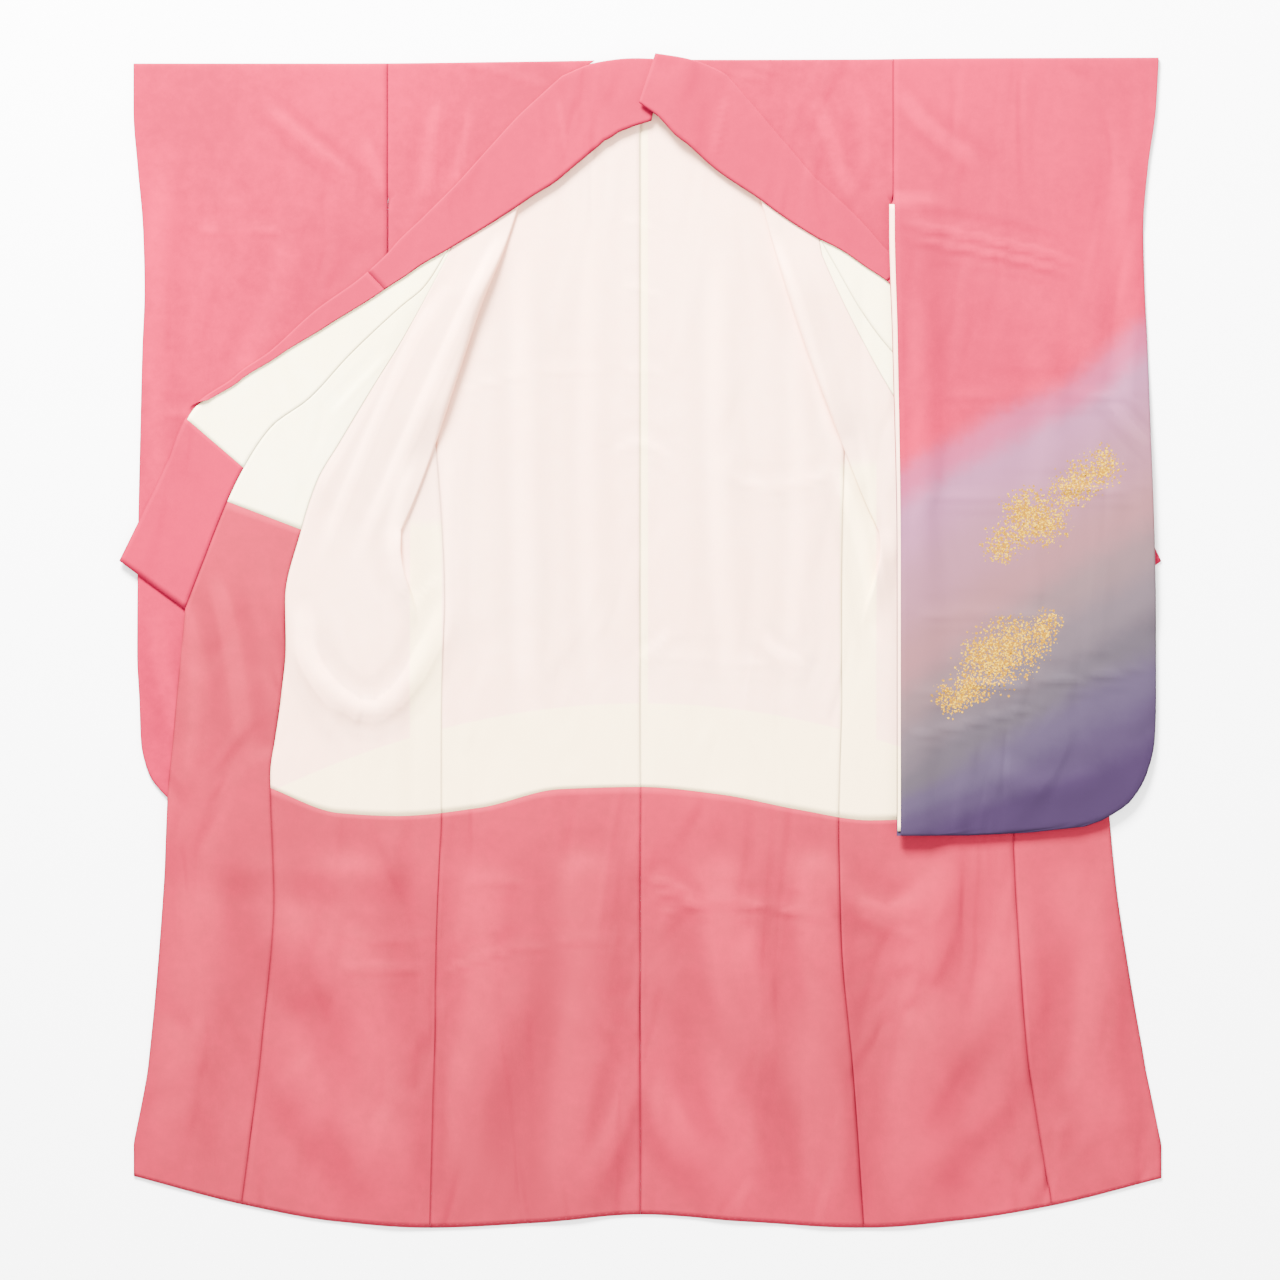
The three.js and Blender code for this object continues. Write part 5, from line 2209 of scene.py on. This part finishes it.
PINK_CREPE = Silk(
    "pink_crepe", (0.225, 0.0050, 0.026), (0.320, 0.0030, 0.034), 0.8, gloss=0.01, sheen=0.05,
)
SHADED_CREPE = ShadedSilk(
    "shaded_crepe",
    (0.235, 0.0055, 0.028),
    (0.320, 0.0030, 0.034),
    0.7,
    gloss=0.01,
    sheen=0.05,
    stops=(
        (-0.350, (0.0205, 0.0118, 0.0290)),
        (-0.300, (0.0275, 0.0180, 0.0370)),
        (-0.250, (0.0360, 0.0262, 0.0460)),
        (-0.200, (0.0430, 0.0345, 0.0430)),
        (-0.140, (0.0650, 0.0480, 0.0560)),
        (-0.080, (0.0920, 0.0560, 0.0600)),
        (-0.020, (0.1380, 0.0590, 0.0660)),
        (0.060, (0.1500, 0.0620, 0.0850)),
        (0.150, (0.1700, 0.0640, 0.1130)),
        (0.200, (0.2150, 0.0320, 0.0760)),
        (0.250, (0.2400, 0.0165, 0.0470)),
    ),
)
COLLAR_CREPE = Silk(
    "collar_crepe", (0.240, 0.0050, 0.028), (0.300, 0.0035, 0.032), 0.7, gloss=0.01, sheen=0.05,
)
SKIRT_LINING = Silk(
    "skirt_lining", (0.205, 0.0125, 0.026), (0.275, 0.0090, 0.030), 0.7, crepe=0.55, wrinkle_depth=0.0026,
    roughness=0.55, gloss=0.01, sheen=0.08, hollow=0.15,
)
WHITE_LINING = LiningSilk(
    "white_lining", (0.90, 0.52, 0.375), (0.93, 0.60, 0.45), 0.6, crepe=0.15, threads=6500.0,
    weave_depth=0.00006, roughness=0.5, gloss=0.2, sheen=0.08,
)
CREAM_LINING = Silk(
    "cream_lining", (0.93, 0.80, 0.46), (0.94, 0.86, 0.60), 0.6, crepe=0.15, threads=6500.0,
    weave_depth=0.00006, wrinkle_depth=0.0014, roughness=0.5, gloss=0.2, sheen=0.08,
)


# Small things that repeat, placed by geometry nodes


class Recipe:
    """A geometry node tree with named inputs, run once on an object and turned into a plain mesh.

    Args:
        name: name of the tree.
        inputs: name, kind and value of each input after the geometry.
    """

    def __init__(self, name: str, inputs: Sequence[tuple[str, str, object]]) -> None:
        """Starts the tree.

        Args:
            name: its name.
            inputs: name, kind and value of each input after the geometry.
        """
        self.tree = bpy.data.node_groups.new(name, "GeometryNodeTree")
        self.tree.interface.new_socket("Geometry", in_out="INPUT", socket_type="NodeSocketGeometry")
        self.values: dict[str, object] = {}
        for label, kind, value in inputs:
            made = self.tree.interface.new_socket(label, in_out="INPUT", socket_type=kind)
            self.values[made.identifier] = value
        self.tree.interface.new_socket("Geometry", in_out="OUTPUT", socket_type="NodeSocketGeometry")
        self.graph = Graph(self.tree)
        self.given = self.graph.node("NodeGroupInput").outputs
        self.end = self.graph.node("NodeGroupOutput").inputs[0]

    def finished(self, instances: Socket, finish: Socket, jitter: Socket | None = None) -> None:
        """Ends the tree with real geometry in its finish.

        Args:
            instances: what was placed.
            finish: its material.
            jitter: how far each point is moved, if at all.
        """
        last = self.graph.node("GeometryNodeRealizeInstances", {0: instances}).outputs[0]
        if jitter is not None:
            fed = {"Geometry": last, "Offset": jitter}
            last = self.graph.node("GeometryNodeSetPosition", fed).outputs[0]
        fed = {"Geometry": last, "Material": finish}
        self.graph.feed(self.end, self.graph.node("GeometryNodeSetMaterial", fed).outputs[0])

    def run(self, name: str, start: bpy.types.Mesh) -> bpy.types.Object:
        """An object made by running the tree on a mesh.

        Args:
            name: name of the object.
            start: the mesh that the tree begins with.

        Returns:
            The object, with no modifier left on it.
        """
        made = bpy.data.objects.new(name, start)
        bpy.context.scene.collection.objects.link(made)
        modifier = made.modifiers.new("recipe", "NODES")
        modifier.node_group = self.tree
        for identifier, value in self.values.items():
            modifier[identifier] = value
        bpy.context.view_layer.update()
        shape = made.evaluated_get(bpy.context.evaluated_depsgraph_get())
        result = bpy.data.meshes.new_from_object(shape)
        made.modifiers.remove(modifier)
        made.data = result
        result.name = name
        return made


@dataclass(frozen=True)
class Cloud:
    """A drift of gold leaf, thick along its middle and thin at its borders.

    Args:
        start: one end of its middle line, in millimetres.
        end: the other end.
        reach: how far flakes lie from that line.
        share: how thick it is, 1 for the thickest.
    """

    start: tuple[float, float]
    end: tuple[float, float]
    reach: float
    share: float

    def at(self, x: Array, y: Array) -> Array:
        """Thickness of the cloud.

        Args:
            x: places along X.
            y: places along Y.

        Returns:
            The thickness at each place.
        """
        dx, dy = self.end[0] - self.start[0], self.end[1] - self.start[1]
        along = np.clip(((x - self.start[0]) * dx + (y - self.start[1]) * dy) / (dx**2 + dy**2), 0, 1)
        away = np.hypot(x - self.start[0] - along * dx, y - self.start[1] - along * dy)
        return self.share * smooth(1 - away / self.reach)


GOLD_CLOUDS = (
    Cloud((484, 128), (520, 165), 30, 0.9),
    Cloud((520, 175), (545, 160), 38, 1.0),
    Cloud((570, 200), (622, 238), 30, 1.0),
    Cloud((418, -78), (452, -60), 26, 1.0),
    Cloud((468, -30), (498, -8), 50, 1.0),
    Cloud((530, -10), (548, 28), 22, 0.9),
)


@dataclass(frozen=True)
class GoldLeaf:
    """Torn flakes of gold leaf scattered over the dyed sleeve.

    Args:
        clouds: where they lie.
        density: flakes for each square metre where a cloud is thickest.
        largest: radius of the largest flake, in metres.
        smallest: radius of the smallest.
        skew: more for fewer large flakes.
        tear: how far a flake's corners are torn out of place.
        depth: thickness of a flake beside its radius.
        lift: gap under the flakes, in millimetres.
        seed: of the scatter.
    """

    clouds: Sequence[Cloud] = GOLD_CLOUDS
    density: float = 760000.0
    largest: float = 0.0020
    smallest: float = 0.0004
    skew: float = 1.7
    tear: float = 0.0016
    depth: float = 0.12
    lift: float = 0.03
    seed: int = 11

    def _patch(self, cloth: Cloth) -> bpy.types.Mesh:
        """The upper face of the cloth where flakes lie, with the clouds' thickness at each point.

        Args:
            cloth: the cloth.

        Returns:
            A mesh of that part of its surface.
        """
        x, y = cloth.points[:, 0], cloth.points[:, 1]
        thick = np.max([cloud.at(x, y) for cloud in self.clouds], axis=0)
        upward = cloth.normals[cloth.quads][..., 2].min(axis=1) > 0.5
        kept = cloth.quads[upward & (thick[cloth.quads].max(axis=1) > 0)]
        used, corners = np.unique(kept, return_inverse=True)
        places = (cloth.points + (0.5 * SHELL + self.lift) * cloth.normals)[used] * MM
        mesh = bpy.data.meshes.new("leaf_patch")
        mesh.from_pydata(places.tolist(), [], corners.reshape(-1, 4).tolist())
        attribute = mesh.attributes.new("thick", "FLOAT", "POINT")
        attribute.data.foreach_set("value", thick[used].astype(np.float32))
        return mesh

    def build(self, cloth: Cloth, finish: bpy.types.Material) -> bpy.types.Object:
        """Scatters the flakes.

        Args:
            cloth: the cloth that they lie on.
            finish: material of the leaf.

        Returns:
            One object with all the flakes.
        """
        recipe = Recipe("gold leaf", (
            ("Density", VALUE, self.density),
            ("Smallest", VALUE, self.smallest),
            ("Largest", VALUE, self.largest),
            ("Seed", "NodeSocketInt", self.seed),
            ("Finish", "NodeSocketMaterial", finish),
        ))
        graph, given = recipe.graph, recipe.given
        named = {"Name": "thick"}
        thick = graph.node("GeometryNodeInputNamedAttribute", named, data_type="FLOAT").outputs[0]
        where = graph.node("GeometryNodeInputPosition").outputs[0]
        patchy = graph.span(graph.noise(where, 60.0, 2.0, 0.6), 0.40, 0.56, 0.25, 1.0)
        density = graph.math("MULTIPLY", graph.math("MULTIPLY", thick, patchy), given["Density"])
        fed = {"Mesh": given["Geometry"], "Density": density, "Seed": given["Seed"]}
        points = graph.node("GeometryNodeDistributePointsOnFaces", fed).outputs
        fed = {"Vertices": 5, "Radius": 1.0, "Depth": self.depth}
        flake = graph.node("GeometryNodeMeshCylinder", fed, fill_type="NGON").outputs["Mesh"]
        fed = {"Seed": given["Seed"]}
        share = graph.node("FunctionNodeRandomValue", fed, data_type="FLOAT").outputs[1]
        span = graph.math("SUBTRACT", given["Largest"], given["Smallest"])
        larger = graph.math("MULTIPLY", graph.math("POWER", share, self.skew), span)
        spin = graph.node("FunctionNodeRandomValue", {3: math.tau}, data_type="FLOAT").outputs[1]
        fed = {0: points["Rotation"], 1: graph.node("ShaderNodeCombineXYZ", {2: spin}).outputs[0]}
        turned = graph.node("FunctionNodeRotateRotation", fed, rotation_space="LOCAL").outputs[0]
        placed = graph.node("GeometryNodeInstanceOnPoints", {
            "Points": points["Points"],
            "Instance": flake,
            "Rotation": turned,
            "Scale": graph.math("ADD", given["Smallest"], larger),
        })
        torn = graph.node("ShaderNodeTexNoise", {"Vector": where, "Scale": 700.0}).outputs["Color"]
        fed = {0: torn, 1: (0.5, 0.5, 0.5)}
        centred = graph.node("ShaderNodeVectorMath", fed, operation="SUBTRACT").outputs[0]
        fed = {0: centred, 1: (self.tear, self.tear, 0.0)}
        jitter = graph.node("ShaderNodeVectorMath", fed, operation="MULTIPLY").outputs[0]
        recipe.finished(placed.outputs[0], given["Finish"], jitter)
        return recipe.run("gold_leaf", self._patch(cloth))


@dataclass(frozen=True)
class SlipStitches:
    """Small stitches along an edge, all of a length.

    Args:
        spacing: from one stitch to the next, in metres.
        length: of a stitch.
        thread: radius of the thread.
    """

    spacing: float = 0.009
    length: float = 0.0021
    thread: float = 0.0002

    def build(self, name: str, paths: Sequence[Array], finish: bpy.types.Material) -> bpy.types.Object:
        """Sews along paths.

        Args:
            name: name of the object.
            paths: points along each path, in millimetres.
            finish: material of the thread.

        Returns:
            One object with all the stitches.
        """
        recipe = Recipe(name, (
            ("Spacing", VALUE, self.spacing),
            ("Length", VALUE, self.length),
            ("Thread", VALUE, self.thread),
            ("Finish", "NodeSocketMaterial", finish),
        ))
        graph, given = recipe.graph, recipe.given
        line = graph.node("GeometryNodeMeshToCurve", {"Mesh": given["Geometry"]}).outputs[0]
        fed = {"Curve": line, "Length": given["Spacing"]}
        even = graph.node("GeometryNodeResampleCurve", fed, mode="LENGTH").outputs[0]
        fed = {"Vertices": 6, "Radius": given["Thread"], "Depth": given["Length"]}
        stitch = graph.node("GeometryNodeMeshCylinder", fed, fill_type="NGON").outputs["Mesh"]
        fed = {"Vector": graph.node("GeometryNodeInputTangent").outputs[0]}
        along = graph.node("FunctionNodeAlignRotationToVector", fed, axis="Z").outputs[0]
        fed = {"Points": even, "Instance": stitch, "Rotation": along}
        placed = graph.node("GeometryNodeInstanceOnPoints", fed).outputs[0]
        recipe.finished(placed, given["Finish"])
        edges = []
        start = 0
        for path in paths:
            edges += [(start + k, start + k + 1) for k in range(len(path) - 1)]
            start += len(path)
        mesh = bpy.data.meshes.new(name)
        mesh.from_pydata((np.vstack(paths) * MM).tolist(), edges, [])
        return recipe.run(name, mesh)


class Border(Enum):
    """Borders of a panel that stitches run beside, with the grid's axis along them."""

    HEM = 1
    OUTER = 0


def path_beside(grid: Grid, side: Side, border: Border, share: float = 0.5) -> Array:
    """Points on the upper cloth's surface, a part of a cell in from a border.

    Args:
        grid: points of the panel's middle line.
        side: which side of the garment.
        border: the border.
        share: how far in, as a part of the last cell.

    Returns:
        The points, in millimetres.
    """
    height = Layer.LINING.value + 0.5 * SHELL + STITCH_LIFT
    surface = grid.points + height * side.value * grid.normals()
    rows = surface if border is Border.HEM else surface.transpose(1, 0, 2)
    return (1 - share) * rows[-1] + share * rows[-2]


# Pieces and sub-assemblies


@dataclass
class Atelier:
    """What every sub-assembly works with: finishes by slot, the lie of the cloth and the pieces made so far.

    Args:
        materials: finish of each material slot.
        lie: lift of the cloth.
        made: pieces by name.
    """

    materials: dict[str, bpy.types.Material]
    lie: Lie
    made: dict[str, bpy.types.Object] = field(default_factory=dict)

    def piece(self, name: str, cloth: Cloth, slot: str) -> bpy.types.Object:
        """One cloth as an object that takes its CAD node's place.

        Args:
            name: the node that it stands for.
            cloth: its middle surface.
            slot: its material slot.

        Returns:
            The object.
        """
        mesh = cloth.mesh(name + "_cloth")
        mesh.materials.append(self.materials[slot])
        made = bpy.data.objects.new(name + "_cloth", mesh)
        bpy.context.scene.collection.objects.link(made)
        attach(made, "root")
        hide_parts(name)
        self.made[name] = made
        LOG.info("%s: %d faces", made.name, len(mesh.polygons))
        return made

    def detail(self, made: bpy.types.Object, slot: str) -> None:
        """A small thing on a cloth, which rides with it.

        Args:
            made: the object.
            slot: material slot that it counts for; not used.
        """
        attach(made, "root")
        LOG.info("%s: %d faces", made.name, len(made.data.polygons))

    def declare(
        self, name: str, flat: tuple[float, float], held: str, rests_on: str,
        area: float | None = None, with_pieces: Sequence[bpy.types.Object] = (),
    ) -> None:
        """Takes a description of a piece as a sheet of cloth and does nothing with it.

        Args:
            name: the piece's node; not used.
            flat: width and length of what shows of its cut, in metres; not used.
            held: how it is held; not used.
            rests_on: what it lies on; not used.
            area: area of the cut where it isn't a rectangle; not used.
            with_pieces: separate pieces on it; not used.
        """


@dataclass
class Body:
    """The body of one side: back, front and overlap panel with their linings.

    Args:
        side: which side of the garment.
        width: width of the back's cut, in metres.
        front_width: width of the front's cut between its seams.
        length: length of half a body panel, from shoulder to hem.
        overlap_width: width of the overlap panel's cut.
        overlap_length: its length.
        upper: length of the upper lining.
        skirt_width: width of the back's skirt lining.
        front_skirt_width: width of the front's skirt lining.
        overlap_upper: length of the overlap panel's upper lining.
        overlap_upper_area: area of that lining, which is a triangle.
        stitches: stitches along the hem and the front edge, once they are made.
    """

    side: Side
    width: float = 0.342
    front_width: float = 0.30
    length: float = 1.58
    overlap_width: float = 0.15
    overlap_length: float = 1.33
    upper: float = 1.0
    skirt_width: float = 0.30
    front_skirt_width: float = 0.26
    overlap_upper: float = 0.40
    overlap_upper_area: float = 0.026
    stitches: bpy.types.Object | None = None

    def build(self, atelier: Atelier) -> None:
        """Makes the pieces.

        Args:
            atelier: finishes and lie of the cloth.
        """
        marks = (
            *RIM_ROWS, FOLD_START, FOLD_TURNED, ARMHOLE_END, SIDE_TURNED, DOUBLED_END, FOLD_FLAT, LINING_END,
        )
        rows = rows_between(SHOULDER_Y, HEM_Y, ROW_STEP, marks)
        marks = (OVERLAP_TOP, DOUBLED_END, COLLAR_END, FOLD_FLAT, LINING_END)
        below = rows_between(OVERLAP_TIP - 1, HEM_Y, ROW_STEP, marks)
        side, white = self.side, "white_lining"
        back = self._pair(atelier, "back", BackSection(side).grid(rows), LINING_END, white)
        front = self._pair(atelier, "front", FrontSection(side).grid(rows), LINING_END, white)
        plain = OverlapSection(side).grid(below)
        overlap = self._pair(atelier, "okumi", plain, OVERLAP_LINING_END, "cream_lining")
        edge = path_beside(overlap.between(COLLAR_END, HEM_Y), side, Border.OUTER)
        paths = [*(path_beside(panel, side, Border.HEM) for panel in (back, front, overlap)), edge]
        name, thread = f"hem_stitches_{side.label}", atelier.materials["thread"]
        self.stitches = SlipStitches().build(name, paths, thread)
        atelier.detail(self.stitches, "skirt_lining")

    def _pair(self, atelier: Atelier, name: str, plain: Grid, end: float, slot: str) -> Grid:
        """Outer cloth, upper lining and skirt lining of one panel.

        Args:
            atelier: finishes and lie of the cloth.
            name: name of the panel.
            plain: its middle line, without folds.
            end: row where the upper lining meets the skirt lining.
            slot: material slot of the upper lining.

        Returns:
            The grid that they lie on.
        """
        grid = atelier.lie.laid(plain)
        layers = (
            ("", grid, Layer.OUTER, "pink_crepe"),
            ("_lining", grid.between(SHOULDER_Y, end), Layer.LINING, slot),
            ("_skirt", grid.between(end, HEM_Y), Layer.LINING, "skirt_lining"),
        )
        for part, laid, layer, finish in layers:
            cloth = cloth_on(laid, self.side, layer.value)
            atelier.piece(f"{name}{part}_{self.side.label}", cloth, finish)
        return grid

    def dress(self, atelier: Atelier) -> None:
        """Args:
            atelier: holds the pieces.
        """
        side = self.side.label
        skirt = self.length - self.upper
        declare = atelier.declare
        declare(f"back_{side}", (self.width, self.length), "laid", "floor")
        declare(f"back_lining_{side}", (self.width, self.upper), "laid", f"back_{side}")
        declare(f"back_skirt_{side}", (self.skirt_width, skirt), "laid", f"back_{side}")
        declare(f"front_{side}", (self.front_width, self.length), "folded", "floor")
        declare(f"front_lining_{side}", (self.front_width, self.upper), "folded", f"front_{side}")
        declare(f"front_skirt_{side}", (self.front_skirt_width, skirt), "laid", f"front_{side}")
        declare(f"okumi_{side}", (self.overlap_width, self.overlap_length), "laid", "floor")
        flat = (self.overlap_width, self.overlap_upper)
        declare(f"okumi_lining_{side}", flat, "laid", f"okumi_{side}", area=self.overlap_upper_area)
        flat = (self.overlap_width, self.overlap_length - self.overlap_upper)
        declare(f"okumi_skirt_{side}", flat, "laid", f"okumi_{side}", with_pieces=[self.stitches])


@dataclass
class Collar:
    """The collar band of one side, its over-collar, its lining and the facing of its open end.

    Args:
        side: which side of the garment.
        over_length: length of this half of the over-collar, in metres.
        over_width: width of its cut.
        length: length of the band below it.
        width: width of its cut.
        lining: width and length of the lining.
        facing: length of the facing, which is as wide as the band.
        strip: how far short of the band's edge the lining stops, in millimetres.
    """

    side: Side
    over_length: float = 0.43
    over_width: float = 0.15
    length: float = 0.55
    width: float = 0.11
    lining: tuple[float, float] = (0.085, 0.40)
    facing: float = 0.20
    strip: float = 3.0

    def build(self, atelier: Atelier) -> None:
        """Makes the pieces.

        Args:
            atelier: finishes and lie of the cloth.
        """
        section = CollarSection(self.side)
        lining = section.lining(COLLAR_LINING_TOP, FACING_TOP, self.strip)
        parts = (
            ("over_collar", section.over_collar(), "collar_crepe"),
            ("collar", section.collar(), "collar_crepe"),
            ("collar_lining", lining, "cream_lining"),
            ("collar_facing", section.lining(FACING_TOP, COLLAR_END, 0.0), "collar_crepe"),
        )
        for name, grid, slot in parts:
            atelier.piece(f"{name}_{self.side.label}", cloth_on(atelier.lie.laid(grid), self.side), slot)

    def dress(self, atelier: Atelier) -> None:
        """Args:
            atelier: holds the pieces.
        """
        side = self.side.label
        over = (self.over_width, self.over_length)
        atelier.declare(f"over_collar_{side}", over, "folded", f"front_{side}")
        atelier.declare(f"collar_{side}", (self.width, self.length), "folded", f"okumi_{side}")
        atelier.declare(f"collar_lining_{side}", self.lining, "laid", f"collar_{side}")
        atelier.declare(f"collar_facing_{side}", (self.width, self.facing), "laid", f"collar_{side}")


@dataclass
class Sleeve:
    """One sleeve, and on the left the strip of its lining that shows at the open edge.

    Args:
        side: which side of the garment.
        width: width of the folded sleeve, in metres.
        length: its length.
        creases: creases of its upper cloth alone.
        lining: width and length of the strip of lining.
        strip: top, foot and outer reach of that strip, in millimetres.
        leaf: gold leaf on it, once it is made.
    """

    side: Side
    width: float = 0.35
    length: float = 1.05
    creases: Sequence[Crease] = ()
    lining: tuple[float, float] = (0.085, 0.845)
    strip: tuple[float, float, float] = (588.0, -256.0, 420.0)
    leaf: bpy.types.Object | None = None

    def build(self, atelier: Atelier) -> None:
        """Makes the pieces.

        Args:
            atelier: finishes and lie of the cloth.
        """
        slot = "shaded_crepe" if self.side is Side.LEFT else "pink_crepe"
        bag = SleeveBag(self.side).cloth(Lie((), self.creases))
        atelier.piece(f"sleeve_{self.side.label}", bag, slot)
        if self.side is Side.LEFT:
            self.leaf = GoldLeaf().build(bag, atelier.materials["gold_leaf"])
            atelier.detail(self.leaf, slot)
            strip = cloth_on(self._strip(), self.side)
            atelier.piece("sleeve_lining_left", strip, "white_lining")

    def _strip(self) -> Grid:
        """Points of the strip of lining inside the open edge.

        Returns:
            The grid, in place in the row frame.
        """
        top, foot, outer = self.strip
        rows = rows_between(top, foot, ROW_STEP)
        made = []
        for v in rows:
            reach = np.linspace(float(FURI_REACH.at(v)) + 1, outer, 13)
            height = PLY + SHELL + sleeve_floor(self.side, reach, np.full(len(reach), v))
            made.append(np.column_stack([reach, np.full(len(reach), v), height]))
        return Grid(np.array(made), rows)

    def dress(self, atelier: Atelier) -> None:
        """Args:
            atelier: holds the pieces.
        """
        on = "floor" if self.side is Side.RIGHT else "front_left"
        pieces = [] if self.leaf is None else [self.leaf]
        flat = (2 * self.width, self.length)
        atelier.declare(f"sleeve_{self.side.label}", flat, "folded", on, with_pieces=pieces)
        if self.side is Side.LEFT:
            atelier.declare("sleeve_lining_left", self.lining, "laid", "sleeve_left")


@dataclass(frozen=True)
class Studio:
    """Floor, lights and camera.

    Args:
        frame_width: width of floor that the picture shows, in metres.
        lens: focal length, in millimetres.
        sensor: width of the sensor.
        centre: point of the floor in the middle of the picture.
        floor: half the width of the floor.
        grey: linear value of the floor.
        sky: strength of the light from all round.
    """

    frame_width: float = 1.728
    lens: float = 120.0
    sensor: float = 36.0
    centre: tuple[float, float] = (-0.0007, 0.00135)
    floor: float = 6.0
    grey: float = 0.95
    sky: float = 2.3

    def build(self) -> None:
        """Makes the floor, the lights and the camera straight above the garment."""
        mesh = bpy.data.meshes.new("floor")
        corners = [(x * self.floor, y * self.floor, 0) for x, y in ((-1, -1), (1, -1), (1, 1), (-1, 1))]
        mesh.from_pydata(corners, [], [(0, 1, 2, 3)])
        mesh.materials.append(Plain("floor", (self.grey, self.grey, self.grey), 0.9).material())
        floor = bpy.data.objects.new("floor", mesh)
        bpy.context.scene.collection.objects.link(floor)
        self._light("key", (-1.2, 4.0, 2.5), 1.6, 3000.0)
        self._light("fill", (3.4, -0.6, 3.4), 3.0, 240.0)
        self._light("low", (-0.8, -3.8, 3.6), 3.0, 180.0)
        world = bpy.data.worlds.new("studio")
        world.use_nodes = True
        background = world.node_tree.nodes["Background"]
        background.inputs["Color"].default_value = opaque((1.0, 1.0, 1.0))
        background.inputs["Strength"].default_value = self.sky
        bpy.context.scene.world = world
        data = bpy.data.cameras.new("camera")
        data.sensor_width = self.sensor
        data.lens = self.lens
        data.dof.use_dof = False
        data.clip_end = 50.0
        camera = bpy.data.objects.new("camera", data)
        camera.location = (*self.centre, self.frame_width * self.lens / self.sensor)
        bpy.context.scene.collection.objects.link(camera)
        bpy.context.scene.camera = camera

    @staticmethod
    def _light(name: str, place: tuple[float, float, float], size: float, power: float) -> None:
        """A soft square lamp that looks at the garment.

        Args:
            name: its name.
            place: where it stands.
            size: width of the lamp, in metres.
            power: in watts.
        """
        data = bpy.data.lights.new(name, "AREA")
        data.size = size
        data.energy = power
        lamp = bpy.data.objects.new(name, data)
        lamp.location = place
        away = np.array(place) / np.linalg.norm(place)
        lamp.rotation_euler = (math.acos(away[2]), 0.0, math.atan2(away[1], away[0]) + math.pi / 2)
        bpy.context.scene.collection.objects.link(lamp)


def main() -> None:
    """Builds the furisode, sub-assembly by sub-assembly, and the studio round it."""
    logging.basicConfig(level=logging.INFO, format="%(name)s: %(message)s", stream=sys.stdout)
    groups = ClothGroups.build()
    silks = (PINK_CREPE, SHADED_CREPE, COLLAR_CREPE, SKIRT_LINING, WHITE_LINING, CREAM_LINING)
    materials = {silk.slot: silk.material(groups) for silk in silks}
    materials["gold_leaf"] = Leaf().material()
    materials["thread"] = Plain("thread", (0.235, 0.012, 0.03), 0.6).material()
    folds = (*SKIRT_FOLDS, *SKIRT_CREASES, *LINING_FOLDS, *SHOULDER_FOLDS)
    atelier = Atelier(materials, Lie(RIDGES, folds))
    for side in Side:
        creases = LEFT_SLEEVE_CREASES if side is Side.LEFT else RIGHT_SLEEVE_CREASES
        body, collar, sleeve = Body(side), Collar(side), Sleeve(side, creases=creases)
        for part in (body, collar, sleeve):
            part.build(atelier)
            part.dress(atelier)
    Studio().build()


if __name__ == "__main__":
    main()
